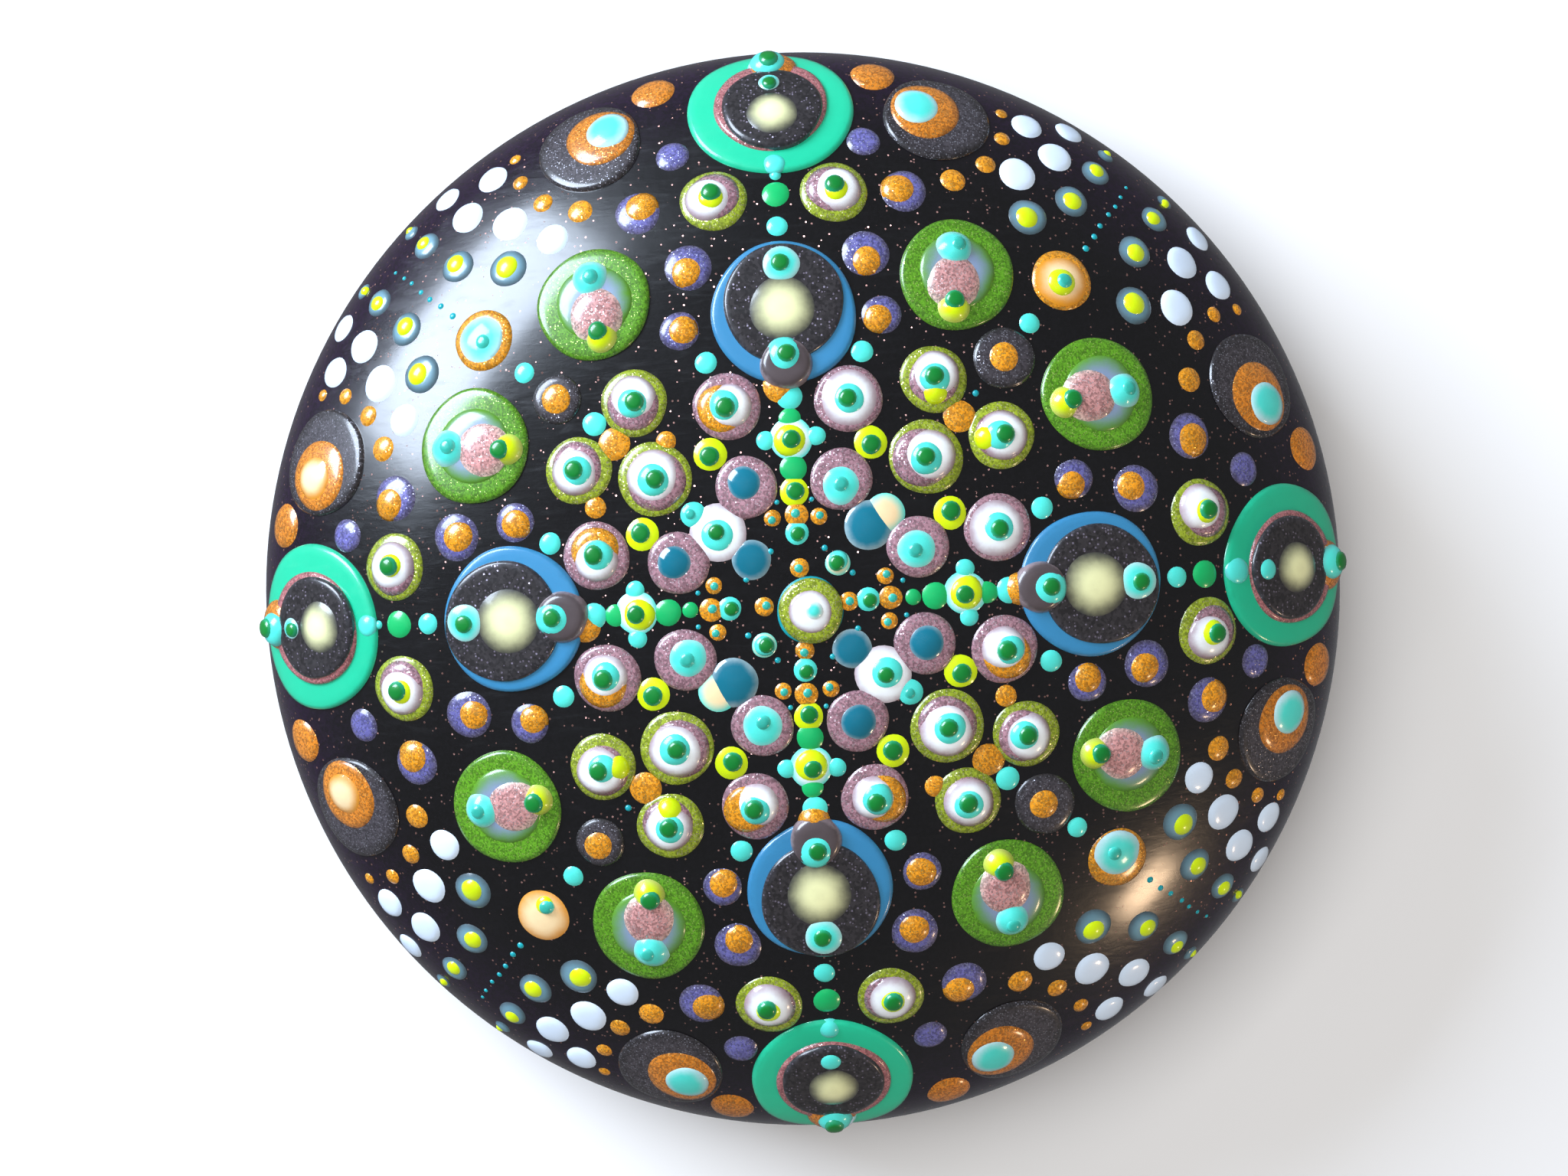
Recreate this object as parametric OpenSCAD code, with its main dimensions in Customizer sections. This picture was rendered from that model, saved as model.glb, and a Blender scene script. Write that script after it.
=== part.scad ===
// Dot-painted mandala stone: a cast, dome-shaped stone with a black ground coat
// and several hundred raised paint dots, laid in layers on a four-arm pattern.
// Millimetres, +Z up, base on Z = 0, centred on the Z axis. Arm 0 points along +X.

/* [Stone] */
// Diameter of the bare stone at its widest line
stone_d = 79.6; // [66:0.2:96]
// Height of the dome above the widest line
dome_h = 16.8; // [14:0.1:20.2]
// Depth of the stone below the widest line
under_h = 10.4; // [8.6:0.1:12.6]
// Radius of the rim, where the dome turns down
rim_r = 8; // [6.6:0.1:9.6]
// Slope of the surface where the crown meets the shoulder
crown_slope = 16; // [13:1:20]
// Slope of the surface where the shoulder meets the rim
shoulder_slope = 44; // [38:1:50]

/* [Ground coat] */
// Thickness of the black ground coat
coat_t = 0.2; // [0.1:0.02:0.4]
// Height above the base at which the coat stops
coat_edge_h = 1.6; // [1:0.1:4]

/* [Paint] */
// Diameter of the stone that the dot sizes below suit; the pattern grows with the stone
pattern_d = 79.6; // [66:0.2:96]
// Height that a very wide dot rises above what it lies on
bead_h = 0.62; // [0.4:0.02:0.8]
// Radius at which a dot rises to half of that height
bead_half_r = 0.7; // [0.5:0.05:1]
// Radius above which a dot lies as an even film with a flat top
film_r = 2.28; // [2.2:0.02:2.8]
// Thickness of such a film
film_t = 0.42; // [0.3:0.02:0.6]
// Lean of the pattern round the stone at the diagonals, in degrees per millimetre out
lean = 0.075; // [0:0.005:0.15]
// How far a dot may stray from its place, as a hand lays it
stray = 0.07; // [0:0.01:0.12]

/* [Large discs] */
// Radius of the four blue discs
blue_r = 5.2; // [4.3:0.05:6.3]
// Distance of the blue discs from the centre
blue_at = 20.6; // [20:0.1:21.2]
// Radius of the four teal discs at the rim
teal_r = 6; // [5:0.05:7.2]
// Distance of the teal discs from the centre
teal_at = 35.5; // [35:0.1:36]
// Radius of the eight green discs
green_r = 4.15; // [3.4:0.05:5]
// Radius of the eight charcoal discs at the rim
charcoal_r = 3.9; // [3.2:0.05:4.7]

/* [Dots] */
// Radius of the olive dots
olive_r = 2.45; // [2:0.05:2.9]
// Radius of the mauve dots
mauve_r = 2.3; // [1.9:0.05:2.7]
// Radius of the white domes in the layered dots
white_r = 1.6; // [1.3:0.05:1.8]
// Radius of the lilac dots
lilac_r = 1.75; // [1.4:0.05:2]
// Radius of the gold centres
gold_r = 0.98; // [0.8:0.02:1.15]
// Radius of the turquoise beads
bead_r = 0.92; // [0.75:0.02:1.1]
// Radius of the green pips
pip_r = 0.5; // [0.4:0.02:0.6]
// Gap between neighbouring dots
gap = 0.4; // [0.3:0.02:0.6]

/* [Hidden] */
$fn = 120;
ALL = [0, 1, 2, 3];
BOTH = [1, -1];
ONE = [1];

// ---- profile of the stone: crown, shoulder and rim arcs, tangent to one another ----
half_d = stone_d / 2;
reach = half_d - rim_r * (1 - sin(shoulder_slope));
climb = dome_h - rim_r * cos(shoulder_slope);
crown_run = sin(crown_slope);
crown_drop = 1 - cos(crown_slope);
shoulder_run = sin(shoulder_slope) - crown_run;
shoulder_drop = cos(crown_slope) - cos(shoulder_slope);
spread = crown_run * shoulder_drop - shoulder_run * crown_drop;
crown_r = (reach * shoulder_drop - climb * shoulder_run) / spread;
shoulder_r = (climb * crown_run - reach * crown_drop) / spread;
crown_c = [0, under_h + dome_h - crown_r];
shoulder_c = crown_c + (crown_r - shoulder_r) * [sin(crown_slope), cos(crown_slope)];
rim_c = [half_d - rim_r, under_h];
base_r = half_d - under_h;
fit = stone_d / pattern_d;
// Flats that stand for each arc of the bare stone
arc_steps = 8;
// Angle by which neighbouring arcs of the coat run into each other, so that they join
lap = 0.002;
// Dots that lap over by less than this only touch
hair = 0.06;
// How far the rim of a dot sinks into the round top of the dot below it
bite = 0.05;
// A flat-bottomed dot may dip this far into what it lies on; a wider one follows the surface
dip_max = 0.12;

function arc_c(slope) = slope < crown_slope ? crown_c : slope < shoulder_slope ? shoulder_c : rim_c;
function arc_r(slope) = slope < crown_slope ? crown_r : slope < shoulder_slope ? shoulder_r : rim_r;
// Distance out and height of the painted surface where it has this slope
function skin(slope) = arc_c(slope) + (arc_r(slope) + coat_t) * [sin(slope), cos(slope)];
// Slope of the painted surface at this distance from the centre
function slope_at(out) =
  out < skin(crown_slope - 0.001)[0] ? asin(out / (crown_r + coat_t)) :
  out < skin(shoulder_slope - 0.001)[0] ? asin((out - shoulder_c[0]) / (shoulder_r + coat_t)) :
  asin(min(0.97, (out - rim_c[0]) / (rim_r + coat_t)));
// The arcs of the dome, as [centre, radius, slope where it starts, slope where it ends]
ARCS = [
  [crown_c, crown_r, 0, crown_slope],
  [shoulder_c, shoulder_r, crown_slope, shoulder_slope],
  [rim_c, rim_r, shoulder_slope, 90],
];
// Slope of the painted surface d further out than where it has this slope
function walk(slope, d) =
  let (arc = d > 0 ? (slope < crown_slope ? 0 : slope < shoulder_slope ? 1 : 2)
      : (slope > shoulder_slope ? 2 : slope > crown_slope ? 1 : 0),
    end = ARCS[arc][d > 0 ? 3 : 2], room = (end - slope) * PI / 180 * (ARCS[arc][1] + coat_t))
  abs(d) <= abs(room) || end == 0 || end == 90 ? max(0, slope + d / (ARCS[arc][1] + coat_t) * 180 / PI)
  : walk(end, d - room);
// The arcs that a film reaching this far follows, each with the slopes it spans. Where crown and
// shoulder meet they are so alike that a film keeps to the arc that its middle is on.
function bands(slope, reach) =
  let (swing = reach / (arc_r(slope) + coat_t) * 180 / PI, high = min(88, walk(slope, reach)))
  slope < crown_slope ? [[ARCS[0], max(0, slope - swing), slope + swing]]
  : let (low = slope < shoulder_slope ? slope - swing : walk(slope, -reach)) [
    if (low < shoulder_slope) [ARCS[1], low, min(high, shoulder_slope)],
    if (high > shoulder_slope) [ARCS[2], max(low, shoulder_slope), high],
  ];
// How far the surface falls away from a flat dot of this radius
function sag(r, slope) = r * r / 2 / arc_r(slope);

// ---- where the dots lie ----
// A place is [distance out, degrees from the arm]; this is the place d away from it,
// measured along the surface, in direction dir, where 0 is outwards and 90 is round the stone.
function beside(at, d, dir) =
  let (x = at[0] + d * cos(dir) * cos(slope_at(fit * at[0])), y = d * sin(dir))
  [norm([x, y]), at[1] + atan2(y, x)];
// A stack of layers on one place, on the arms and sides named. A layer is
// [node, radius, how far outwards and how far round it sits off the stack's centre].
function stack(at, layers, arms = ALL, sides = BOTH) = [
  for (arm = arms, side = sides, l = layers)
    let (p = beside(at, norm([l[2], l[3]]), atan2(l[3], l[2])))
    [l[0], l[1], p[0], side * p[1], arm]
];

blue = [blue_at, 0];
teal = [teal_at, 0];
charcoal = beside(teal, teal_r + 2.85 + charcoal_r, 100);
green = [25.8, 30.2];
diagonal = 45;

// The stacks, in the order in which they are painted
laid = concat(
  // centre
  stack([0.78, -42], [["centre_teal_disc", 2.4, 0, 0], ["centre_olive_disc", 2.29, 0, 0.05],
    ["centre_white_dome", white_r, 0.1, 0], ["centre_turquoise_top", 0.8, 0.1, 0.15]], [0], [1]),
  // blue discs on the arms
  stack(blue, [["blue_discs", blue_r, 0, 0], ["blue_disc_graphite_lenses", blue_r - 0.9, 0.65, 0],
    ["blue_disc_cream_domes", 2.0, 0.1, 0], ["blue_disc_pearl_lenses", 2.1, -3.45, 0],
    ["turquoise_domes", 1.45, 3.3, 0], ["green_pips", pip_r, 3.4, 0],
    ["turquoise_centres", 1.3, -3.3, 0], ["green_pips", pip_r, -3.3, 0]], ALL, ONE),
  // teal discs at the rim
  stack(teal, [["teal_discs", teal_r, 0, 0], ["teal_disc_rose_rings", teal_r - 1.85, -0.1, 0],
    ["teal_disc_graphite_lenses", teal_r - 2.3, -0.4, 0]], ALL, ONE),
  stack(teal, [["teal_disc_cream_domes", 1.8, -0.2, 0], ["turquoise_beads", 0.72, -2.9, 0]], [0, 3], ONE),
  stack(teal, [["teal_disc_cream_domes", 1.8, -1.2, 0], ["turquoise_domes", 0.85, 1.55, 0],
    ["green_pips", pip_r - 0.1, 1.55, 0]], [1, 2], ONE),
  stack(beside(teal, 3.6, 0), [["rim_copper_discs", 1.95, 0, -0.2], ["rim_pearl_dots", 1.6, 0, 0.1],
    ["turquoise_centres", 1.1, 0, 0], ["green_pips", pip_r, 0, 0]], ALL, ONE),
  // beads on the arms, from the blue disc out to the teal one
  stack(beside(blue, blue_r + gap + 0.77, 0), [["turquoise_beads", 0.77, 0, 0]], ALL, ONE),
  stack([29, 0], [["emerald_beads", 0.93, 0, 0]], ALL, ONE),
  stack(beside(teal, teal_r - 0.5, 180), [["turquoise_beads", bead_r, 0, 0]], ALL, ONE),
  // gold and turquoise where the blue disc ends towards the centre
  stack(beside(blue, blue_r - 0.3, 180), [["gold_beads", 1.15, 0, 0]], [0, 3], ONE),
  stack(beside(blue, blue_r + 0.1, 180), [["gold_beads", 1.15, 0, 0.6]], [1, 2], ONE),
  stack(beside(blue, blue_r + 0.9, 180), [["turquoise_beads", bead_r, 0, 0]], ALL, ONE),
  // quatrefoils
  stack([9.5, 0], [["emerald_beads", 0.9, 0, 0]], ALL, ONE),
  stack([13.1, 0], [["emerald_beads", 0.75, 0, 0]], ALL, ONE),
  stack([11.7, 0], [["quatrefoil_petals", 0.78, 0, 1.75]], ALL, BOTH),
  stack([11.6, 0], [["quatrefoil_white_domes", 1.7, 0, 0], ["lime_centres", 1.1, 0, 0],
    ["green_pips", pip_r, 0, 0]], ALL, ONE),
  // inner ends of the arms
  stack([7.95, 0], [["lime_dots", 0.95, 0, 0], ["green_pips", pip_r, 0, 0]], [1, 3], ONE),
  stack([7.85, 0], [["emerald_beads", 0.55, 0, 0]], [0, 2], ONE),
  stack([6.35, 0], [["gold_beads", 0.85, 0, 0], ["turquoise_pips", 0.3, 0, 0]], ALL, ONE),
  stack([4.75, 0], [["turquoise_beads", 0.85, 0, 0], ["green_pips", pip_r - 0.1, 0, 0]], [0, 3], ONE),
  stack([5, 0], [["turquoise_beads", 0.85, 0, 0], ["green_pips", pip_r - 0.1, 0, 0]], [1, 2], ONE),
  stack([3.35, 0], [["gold_beads", 0.7, 0, 0], ["turquoise_pips", 0.28, 0, 0]], [0, 3], ONE),
  stack([2.55, 0], [["gold_beads", 0.7, 0, 0], ["turquoise_pips", 0.28, 0, 0]], [1, 2], ONE),
  // lilac, turquoise and mauve dots that walk round the blue discs
  stack(beside(blue, blue_r + gap + lilac_r, 59),
    [["lilac_dots", lilac_r, 0, 0], ["gold_centres", gold_r, -0.25, 0.1]]),
  stack(beside(blue, blue_r + gap + 0.2 + lilac_r - 0.3, 96),
    [["lilac_dots", lilac_r - 0.3, 0, 0], ["gold_centres", gold_r - 0.06, -0.15, -0.1]]),
  stack(beside(blue, blue_r + gap + 0.8, 121), [["turquoise_beads", 0.8, 0, 0]]),
  stack(beside(blue, blue_r + gap + mauve_r, 147), [["mauve_dots", mauve_r, 0, 0]]),
  stack(beside(blue, blue_r + gap + mauve_r, 147), [["gold_crescents", 1.75, 0.1, 0.35]], [0], [-1]),
  stack(beside(blue, blue_r + gap + mauve_r, 147), [["gold_crescents", 1.75, 0.1, 0.35]], [1], [1]),
  stack(beside(blue, blue_r + gap + mauve_r, 147), [["gold_crescents", 1.75, 0.2, 0.35]], [2, 3], BOTH),
  stack(beside(blue, blue_r + gap + mauve_r, 147), [["white_domes", white_r - 0.05, 0, 0],
    ["turquoise_centres", 1.05, 0, 0], ["green_pips", pip_r, 0, 0]]),
  // olive dots between the blue and the teal discs
  stack([29.3, 8.5], [["olive_dots", olive_r, 0, 0], ["mauve_centres", 1.85, 0.1, -0.1],
    ["white_domes", white_r - 0.1, 0, 0.1], ["lime_centres", 0.93, 0, 0.1], ["green_pips", pip_r, 0, 0.1]]),
  stack([30.1, 18.4], [["lilac_dots", lilac_r - 0.05, 0, 0], ["gold_centres", gold_r + 0.1, 0.1, -0.25]]),
  stack(beside(teal, teal_r + 0.7 + 1.27, 120), [["lilac_dots", 1.27, 0, 0]]),
  stack(beside(teal, teal_r + 0.55 + 1.8, 73), [["rim_gold_dots", 1.8, 0, 0]]),
  // charcoal discs at the rim, with the gold beads that curl round them
  stack(charcoal, [["charcoal_discs", charcoal_r, 0, 0],
    ["charcoal_disc_copper_domes", charcoal_r - 1.3, 0.1, -0.95]]),
  stack(charcoal, [["charcoal_disc_turquoise_domes", 1.65, 0.15, -1.5]], [0, 1, 3]),
  stack(charcoal, [["charcoal_disc_cream_domes", 1.6, 0.1, -1.2]], [2]),
  stack(beside(charcoal, charcoal_r + 1.1 + 0.93, 156), [["gold_beads", 0.93, 0, 0]]),
  stack(beside(charcoal, charcoal_r + 0.8 + 0.77, 124), [["gold_beads", 0.77, 0, 0]]),
  stack(beside(charcoal, charcoal_r + 0.9 + 0.62, 92), [["gold_beads", 0.62, 0, 0]]),
  stack(beside(charcoal, charcoal_r + 1.1 + 0.48, 66), [["gold_beads", 0.48, 0, 0]]),
  // green discs
  stack(green, [["green_discs", green_r, 0, 0], ["green_disc_lilac_lenses", green_r - 1.4, 0, -0.1],
    ["green_disc_rose_domes", green_r - 1.8, -0.7, 0.1], ["green_disc_turquoise_domes", 1.7, 1.25, -0.75],
    ["turquoise_pips", 0.5, 1.5, -0.85], ["green_disc_lime_domes", 1.3, -2.2, 0.7],
    ["green_pips", pip_r, -2.2, 0.7]]),
  // olive dots below the green discs
  stack([18.4, 35.2], [["olive_dots", olive_r, 0, 0], ["mauve_centres", 1.85, 0, 0.1],
    ["white_domes", white_r - 0.15, 0.1, 0]]),
  stack([18.4, 35.2], [["lime_crescents", 1.1, -0.75, 0.5]], [1, 3], [-1]),
  stack([18.4, 35.2], [["lime_crescents", 1.1, -0.75, 0.5]], [0, 2], [1]),
  stack([18.4, 35.2], [["turquoise_centres", 1.05, 0, 0], ["green_pips", pip_r, 0, 0]]),
  stack([12.3, 27.5], [["lime_dots", 1.08, 0, 0], ["green_pips", pip_r + 0.05, 0, 0]]),
  // inner flanks: turquoise domes, or dark teal ones on mauve
  stack([9.15, 21.8], [["mauve_dots", mauve_r - 0.2, 0, 0]]),
  stack([9.15, 21.8], [["turquoise_domes", 1.85, -0.15, 0], ["turquoise_pips", 0.5, -0.3, 0]], [0, 2], [1]),
  stack([9.15, 21.8], [["turquoise_domes", 1.85, -0.15, 0], ["turquoise_pips", 0.5, -0.3, 0]], [1, 3], [-1]),
  stack([9.15, 21.8], [["dark_teal_domes", 1.6, 0.1, 0]], [1, 3], [1]),
  stack([9.15, 21.8], [["dark_teal_domes", 1.6, 0.1, 0]], [0, 2], [-1]),
  stack([6.3, 15], [["gold_beads", 0.62, 0, 0], ["turquoise_pips", 0.26, 0, 0]]),
  stack([4.3, 27], [["teal_trail_dots", 0.26, 0, 0]]),
  stack([7.4, 9.5], [["teal_trail_dots", 0.22, 0, 0]]),
  // diagonals, from the centre out
  stack([3.9, diagonal], [["cream_dots", 1.0, 0, 0], ["turquoise_centres", 0.66, 0, 0],
    ["green_pips", pip_r - 0.12, 0, 0]], [0, 2], [1]),
  stack([8.6, diagonal], [["cream_dots", 1.6, 0, -0.3]], [0, 2], [1]),
  stack([7.3, diagonal], [["dark_teal_domes", 1.9, 0, 0]], [0, 2], [1]),
  stack([4.75, diagonal], [["dark_teal_domes", 1.55, 0, 0]], [1, 3], [1]),
  stack([7.7, diagonal], [["white_domes", 1.75, 0, 0], ["turquoise_centres", 1.15, 0, 0.15],
    ["green_pips", pip_r - 0.05, 0, 0.15]], [1, 3], [1]),
  stack([9.95, diagonal], [["turquoise_beads", bead_r, 0, 0.25], ["turquoise_pips", 0.36, 0, 0.25]],
    [1, 3], [1]),
  stack([13.5, diagonal], [["olive_dots", olive_r + 0.25, 0, 0], ["mauve_centres", 2.1, -0.1, 0.1],
    ["white_domes", white_r + 0.05, 0.1, 0], ["turquoise_centres", 1.15, 0, 0], ["green_pips", pip_r, 0, 0]],
    ALL, ONE),
  stack([17.3, diagonal], [["gold_beads", 1.18, 0, 0]], ALL, ONE),
  stack([19.35, diagonal], [["turquoise_beads", bead_r - 0.05, 0, -0.2]], [1, 3], [1]),
  stack([19.2, diagonal], [["teal_trail_dots", 0.28, 0, 0]], [0, 2], [1]),
  stack([14.9, 35.6], [["gold_beads", 0.74, 0, 0]], [1], [1]),
  stack([16.1, 31.5], [["gold_beads", 0.8, 0, 0]], [3], [1]),
  stack([16, 29], [["gold_beads", 0.8, 0, 0]], [0, 2], [-1]),
  stack([22.5, diagonal], [["diagonal_charcoal_dots", 2.26, 0, 0], ["gold_centres", gold_r, 0, 0]],
    [0, 3], [1]),
  stack([22.5, diagonal], [["diagonal_charcoal_dots", 1.8, 0, 0], ["gold_centres", gold_r, 0, 0]],
    [1, 2], [1]),
  stack([25.6, diagonal], [["turquoise_beads", 0.76, 0, 0]], ALL, ONE),
  stack([29.4, diagonal], [["orange_discs", 2.3, 0, 0]], [0, 1, 3], [1]),
  stack([29.4, diagonal], [["diagonal_cream_domes", 1.9, -0.2, 0], ["lime_centres", 1, -0.2, 0],
    ["turquoise_pips", 0.5, -0.25, 0]], [0], [1]),
  stack([29.4, diagonal], [["diagonal_turquoise_domes", 1.75, 0, 0], ["turquoise_pips", 0.5, -0.2, 0]],
    [1], [1]),
  stack([29.4, diagonal], [["diagonal_cream_domes", 2.2, 0, 0], ["lime_centres", 0.75, -0.7, -0.3],
    ["turquoise_pips", 0.45, -0.8, -0.3]], [2], [1]),
  stack([29.4, diagonal], [["diagonal_turquoise_domes", 1.75, -0.5, 0.2], ["turquoise_pips", 0.5, -0.7, 0.2]],
    [3], [1]),
  // slate dots on both sides of the diagonals, smaller towards the rim
  stack([31.8, diagonal - 9], [["slate_dots", 1.5, 0, 0], ["lime_centres", 0.86, 0, 0]]),
  stack([34.6, diagonal - 4.8], [["slate_dots", 1.35, 0, 0], ["lime_centres", 0.75, 0, 0]]),
  stack([37.5, diagonal - 4.2], [["slate_dots", 1.15, 0, 0], ["lime_centres", 0.6, 0, 0]]),
  stack([39.1, diagonal - 4], [["slate_dots", 0.7, 0, 0], ["lime_centres", 0.36, 0, 0]]),
  // white dots between the slate and the gold ones
  stack([31.4, diagonal - 15.5], [["rim_white_dots", 1.3, 0, 0]], [2, 3], BOTH),
  stack([31.4, diagonal - 15.5], [["rim_white_dots", 1.3, 0, 0]], [1], [1]),
  stack([31.4, diagonal - 15.5], [["rim_white_dots", 1.3, 0, 0]], [0], [-1]),
  stack([34.3, diagonal - 12.6], [["rim_white_dots", 1.5, 0, 0]]),
  stack([36.8, diagonal - 9.4], [["rim_white_dots", 1.4, 0, 0]]),
  stack([37.9, diagonal - 13.9], [["rim_white_dots", 1.3, 0, 0]]),
  stack([39, diagonal - 9], [["rim_white_dots", 1.2, 0, 0]]),
  // the trail of fine dots along each diagonal
  [for (arm = ALL, i = [0 : 6])
    ["teal_trail_dots", 0.3 - 0.02 * i, 32.4 + 1.1 * i - 0.03 * i * i, diagonal, arm]]
);

// Each dot as [node, radius, place on the surface, bearing, slope, centre point]
spots = [
  for (i = [0 : len(laid) - 1])
    let (dot = laid[i], out = fit * dot[2] + stray * sin(137.5 * i),
      turn = asin(stray * cos(101 * i) / (out + 2)),
      bearing = 90 * dot[4] + dot[3] + lean * dot[2] * abs(dot[3]) / 45 + turn,
      slope = slope_at(out), at = skin(slope))
    [dot[0], fit * dot[1], at, bearing, slope, [at[0] * cos(bearing), at[0] * sin(bearing), at[1]]]
];
function is_film(i) = spots[i][1] > film_r * fit || sag(spots[i][1], spots[i][4]) / 2 > dip_max;
function rise(r) = r > film_r * fit ? film_t : bead_h * r / (r + bead_half_r);
function distance(i, j) = norm(spots[i][5] - spots[j][5]);
// Height above the coat of dot j, this far from its middle, from the piles worked out so far
function height_at(j, d, piles) = is_film(j) ? piles[j][1]
  : piles[j][0] + (piles[j][1] - piles[j][0]) * (1 - pow(d / spots[j][1], 2));
// The [height, dot] that the middle of dot i rests on
function highest(list, best = [0, -1], n = 0) = n == len(list) ? best
  : highest(list, list[n][0] > best[0] ? list[n] : best, n + 1);
function rests_on(i, piles) = highest([
  for (j = [0 : 1 : i - 1]) let (d = distance(i, j)) if (d < spots[j][1]) [height_at(j, d, piles), j]]);
// The height of the rim of dot i: on the dot below it, or on the coat where it reaches past that
function rim_height(i, below, piles) = below[1] < 0 ? 0
  : let (d = distance(i, below[1]) + spots[i][1])
    d > spots[below[1]][1] ? 0 : height_at(below[1], d, piles) - (is_film(below[1]) ? 0 : bite);
function pile_up(i = 0, piles = []) = i == len(spots) ? piles
  : let (below = rests_on(i, piles))
    pile_up(i + 1, concat(piles, [[rim_height(i, below, piles), below[0] + rise(spots[i][1])]]));
// [rim height, top height] of each dot above the coat
piles = pile_up();
// The earlier dots that dot i runs against or laps over by more than a hair
function touched(i) = [
  for (j = [0 : 1 : i - 1]) let (d = distance(i, j))
    if (d < spots[i][1] + spots[j][1] - hair && piles[j][1] > piles[i][0] + hair / 4
      && !(is_film(j) && d + spots[i][1] <= spots[j][1])) j];

// ---- shapes ----
// The bare stone's outline, out from the axis along the base, round the rim and up over the dome
module stone_outline() {
  polygon(concat(
    [[0, 0]],
    [for (i = [0 : 2 * arc_steps]) let (turn = 45 * i / arc_steps)
      [base_r + under_h * sin(turn), under_h - under_h * cos(turn)]],
    [for (arc = [2, 1, 0], i = [1 : arc_steps])
      let (slope = ARCS[arc][3] - (ARCS[arc][3] - ARCS[arc][2]) * i / arc_steps)
      ARCS[arc][0] + ARCS[arc][1] * [sin(slope), cos(slope)]]
  ));
}

// The space between two radii round c, from one slope to another
module sector_band(c, inner, outer, from, to) {
  intersection() {
    difference() {
      translate(c) circle(outer);
      translate(c) circle(inner);
    }
    polygon([c, c + 2 * outer * [sin(from), cos(from)], c + 2 * outer * [sin(to), cos(to)]]);
  }
}

// Paint of even thickness between two heights above the coat, round one dot
module film(i, from, to) {
  r = spots[i][1];
  out = spots[i][2][0];
  reach = r + 0.6;
  turn = out > reach ? 2 * asin(reach / out) + 4 : 360;
  intersection() {
    rotate_extrude(angle = turn, start = spots[i][3] - turn / 2) for (band = bands(spots[i][4], reach))
      sector_band(band[0][0], band[0][1] + coat_t + from, band[0][1] + coat_t + to, band[1], band[2]);
    on_surface(i) translate([0, 0, -r]) cylinder(r = r, h = r + to + 1);
  }
}

// The part of film j, and what lies below it, that is next to dot i
module film_next_to(i, j) {
  intersection() {
    on_surface(j) translate([0, 0, -spots[j][1]])
      cylinder(r = spots[j][1], h = spots[j][1] + piles[j][1] + 1);
    on_surface(i) translate([0, 0, -spots[i][1]])
      cylinder(r = spots[i][1] + 1, h = spots[i][1] + piles[j][1] - sag(spots[i][1], spots[i][4]) / 2);
  }
}

// A rounded dot with a flat bottom, carried down as far as deep to cut with
module bead(i, deep) {
  r = spots[i][1];
  low = piles[i][0] - sag(r, spots[i][4]) / 2;
  rise = piles[i][1] - low;
  ball_r = (r * r + rise * rise) / 2 / rise;
  on_surface(i) intersection() {
    translate([0, 0, piles[i][1] - ball_r]) sphere(ball_r);
    translate([0, 0, low - deep]) cylinder(r = r + 1, h = rise + deep + 1);
  }
}

module on_surface(i) {
  rotate(spots[i][3]) translate([spots[i][2][0], 0, spots[i][2][1]]) rotate([0, spots[i][4], 0]) children();
}

// One dot before the dots below it are taken out; deep is how far it is carried down to cut with
module blank(i, deep = 0) {
  if (is_film(i)) film(i, piles[i][0] - deep, piles[i][1]);
  else bead(i, deep);
}

module dots(name) {
  for (i = [0 : len(spots) - 1]) if (spots[i][0] == name) difference() {
    blank(i);
    for (j = touched(i)) {
      if (is_film(j) && !is_film(i)) film_next_to(i, j);
      else blank(j, 0.15);
    }
  }
}

// ---- sub-parts ----
module stone_blank() { color("#b9b2a4") rotate_extrude() stone_outline(); }

module black_ground_coat() {
  coat_end = acos((coat_edge_h - under_h) / under_h);
  color("#17131c") rotate_extrude() {
    for (arc = ARCS) sector_band(arc[0], arc[1], arc[1] + coat_t, arc[2], arc[3] + lap);
    sector_band([base_r, under_h], under_h, under_h + coat_t, 90, coat_end);
  }
}

module centre_teal_disc() { color("#16b7c4") dots("centre_teal_disc"); }
module centre_olive_disc() { color("#8c9a2c") dots("centre_olive_disc"); }
module centre_white_dome() { color("#f4f8fa") dots("centre_white_dome"); }
module centre_turquoise_top() { color("#5fe6e0") dots("centre_turquoise_top"); }
module blue_discs() { color("#2d8fd6") dots("blue_discs"); }
module blue_disc_graphite_lenses() { color("#3c3c46") dots("blue_disc_graphite_lenses"); }
module blue_disc_pearl_lenses() { color("#c9b3b8") dots("blue_disc_pearl_lenses"); }
module blue_disc_cream_domes() { color("#eef0c4") dots("blue_disc_cream_domes"); }
module teal_discs() { color("#18d8a8") dots("teal_discs"); }
module teal_disc_rose_rings() { color("#a8686a") dots("teal_disc_rose_rings"); }
module teal_disc_graphite_lenses() { color("#3c3c46") dots("teal_disc_graphite_lenses"); }
module teal_disc_cream_domes() { color("#eef0c4") dots("teal_disc_cream_domes"); }
module rim_copper_discs() { color("#b8742c") dots("rim_copper_discs"); }
module rim_gold_dots() { color("#c87a24") dots("rim_gold_dots"); }
module rim_pearl_dots() { color("#e6f6fa") dots("rim_pearl_dots"); }
module rim_white_dots() { color("#dfeeff") dots("rim_white_dots"); }
module green_discs() { color("#4f8f1e") dots("green_discs"); }
module green_disc_lilac_lenses() { color("#b9bcd8") dots("green_disc_lilac_lenses"); }
module green_disc_rose_domes() { color("#d8a8ac") dots("green_disc_rose_domes"); }
module green_disc_turquoise_domes() { color("#5fe6e6") dots("green_disc_turquoise_domes"); }
module green_disc_lime_domes() { color("#d6f000") dots("green_disc_lime_domes"); }
module charcoal_discs() { color("#4a4850") dots("charcoal_discs"); }
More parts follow.
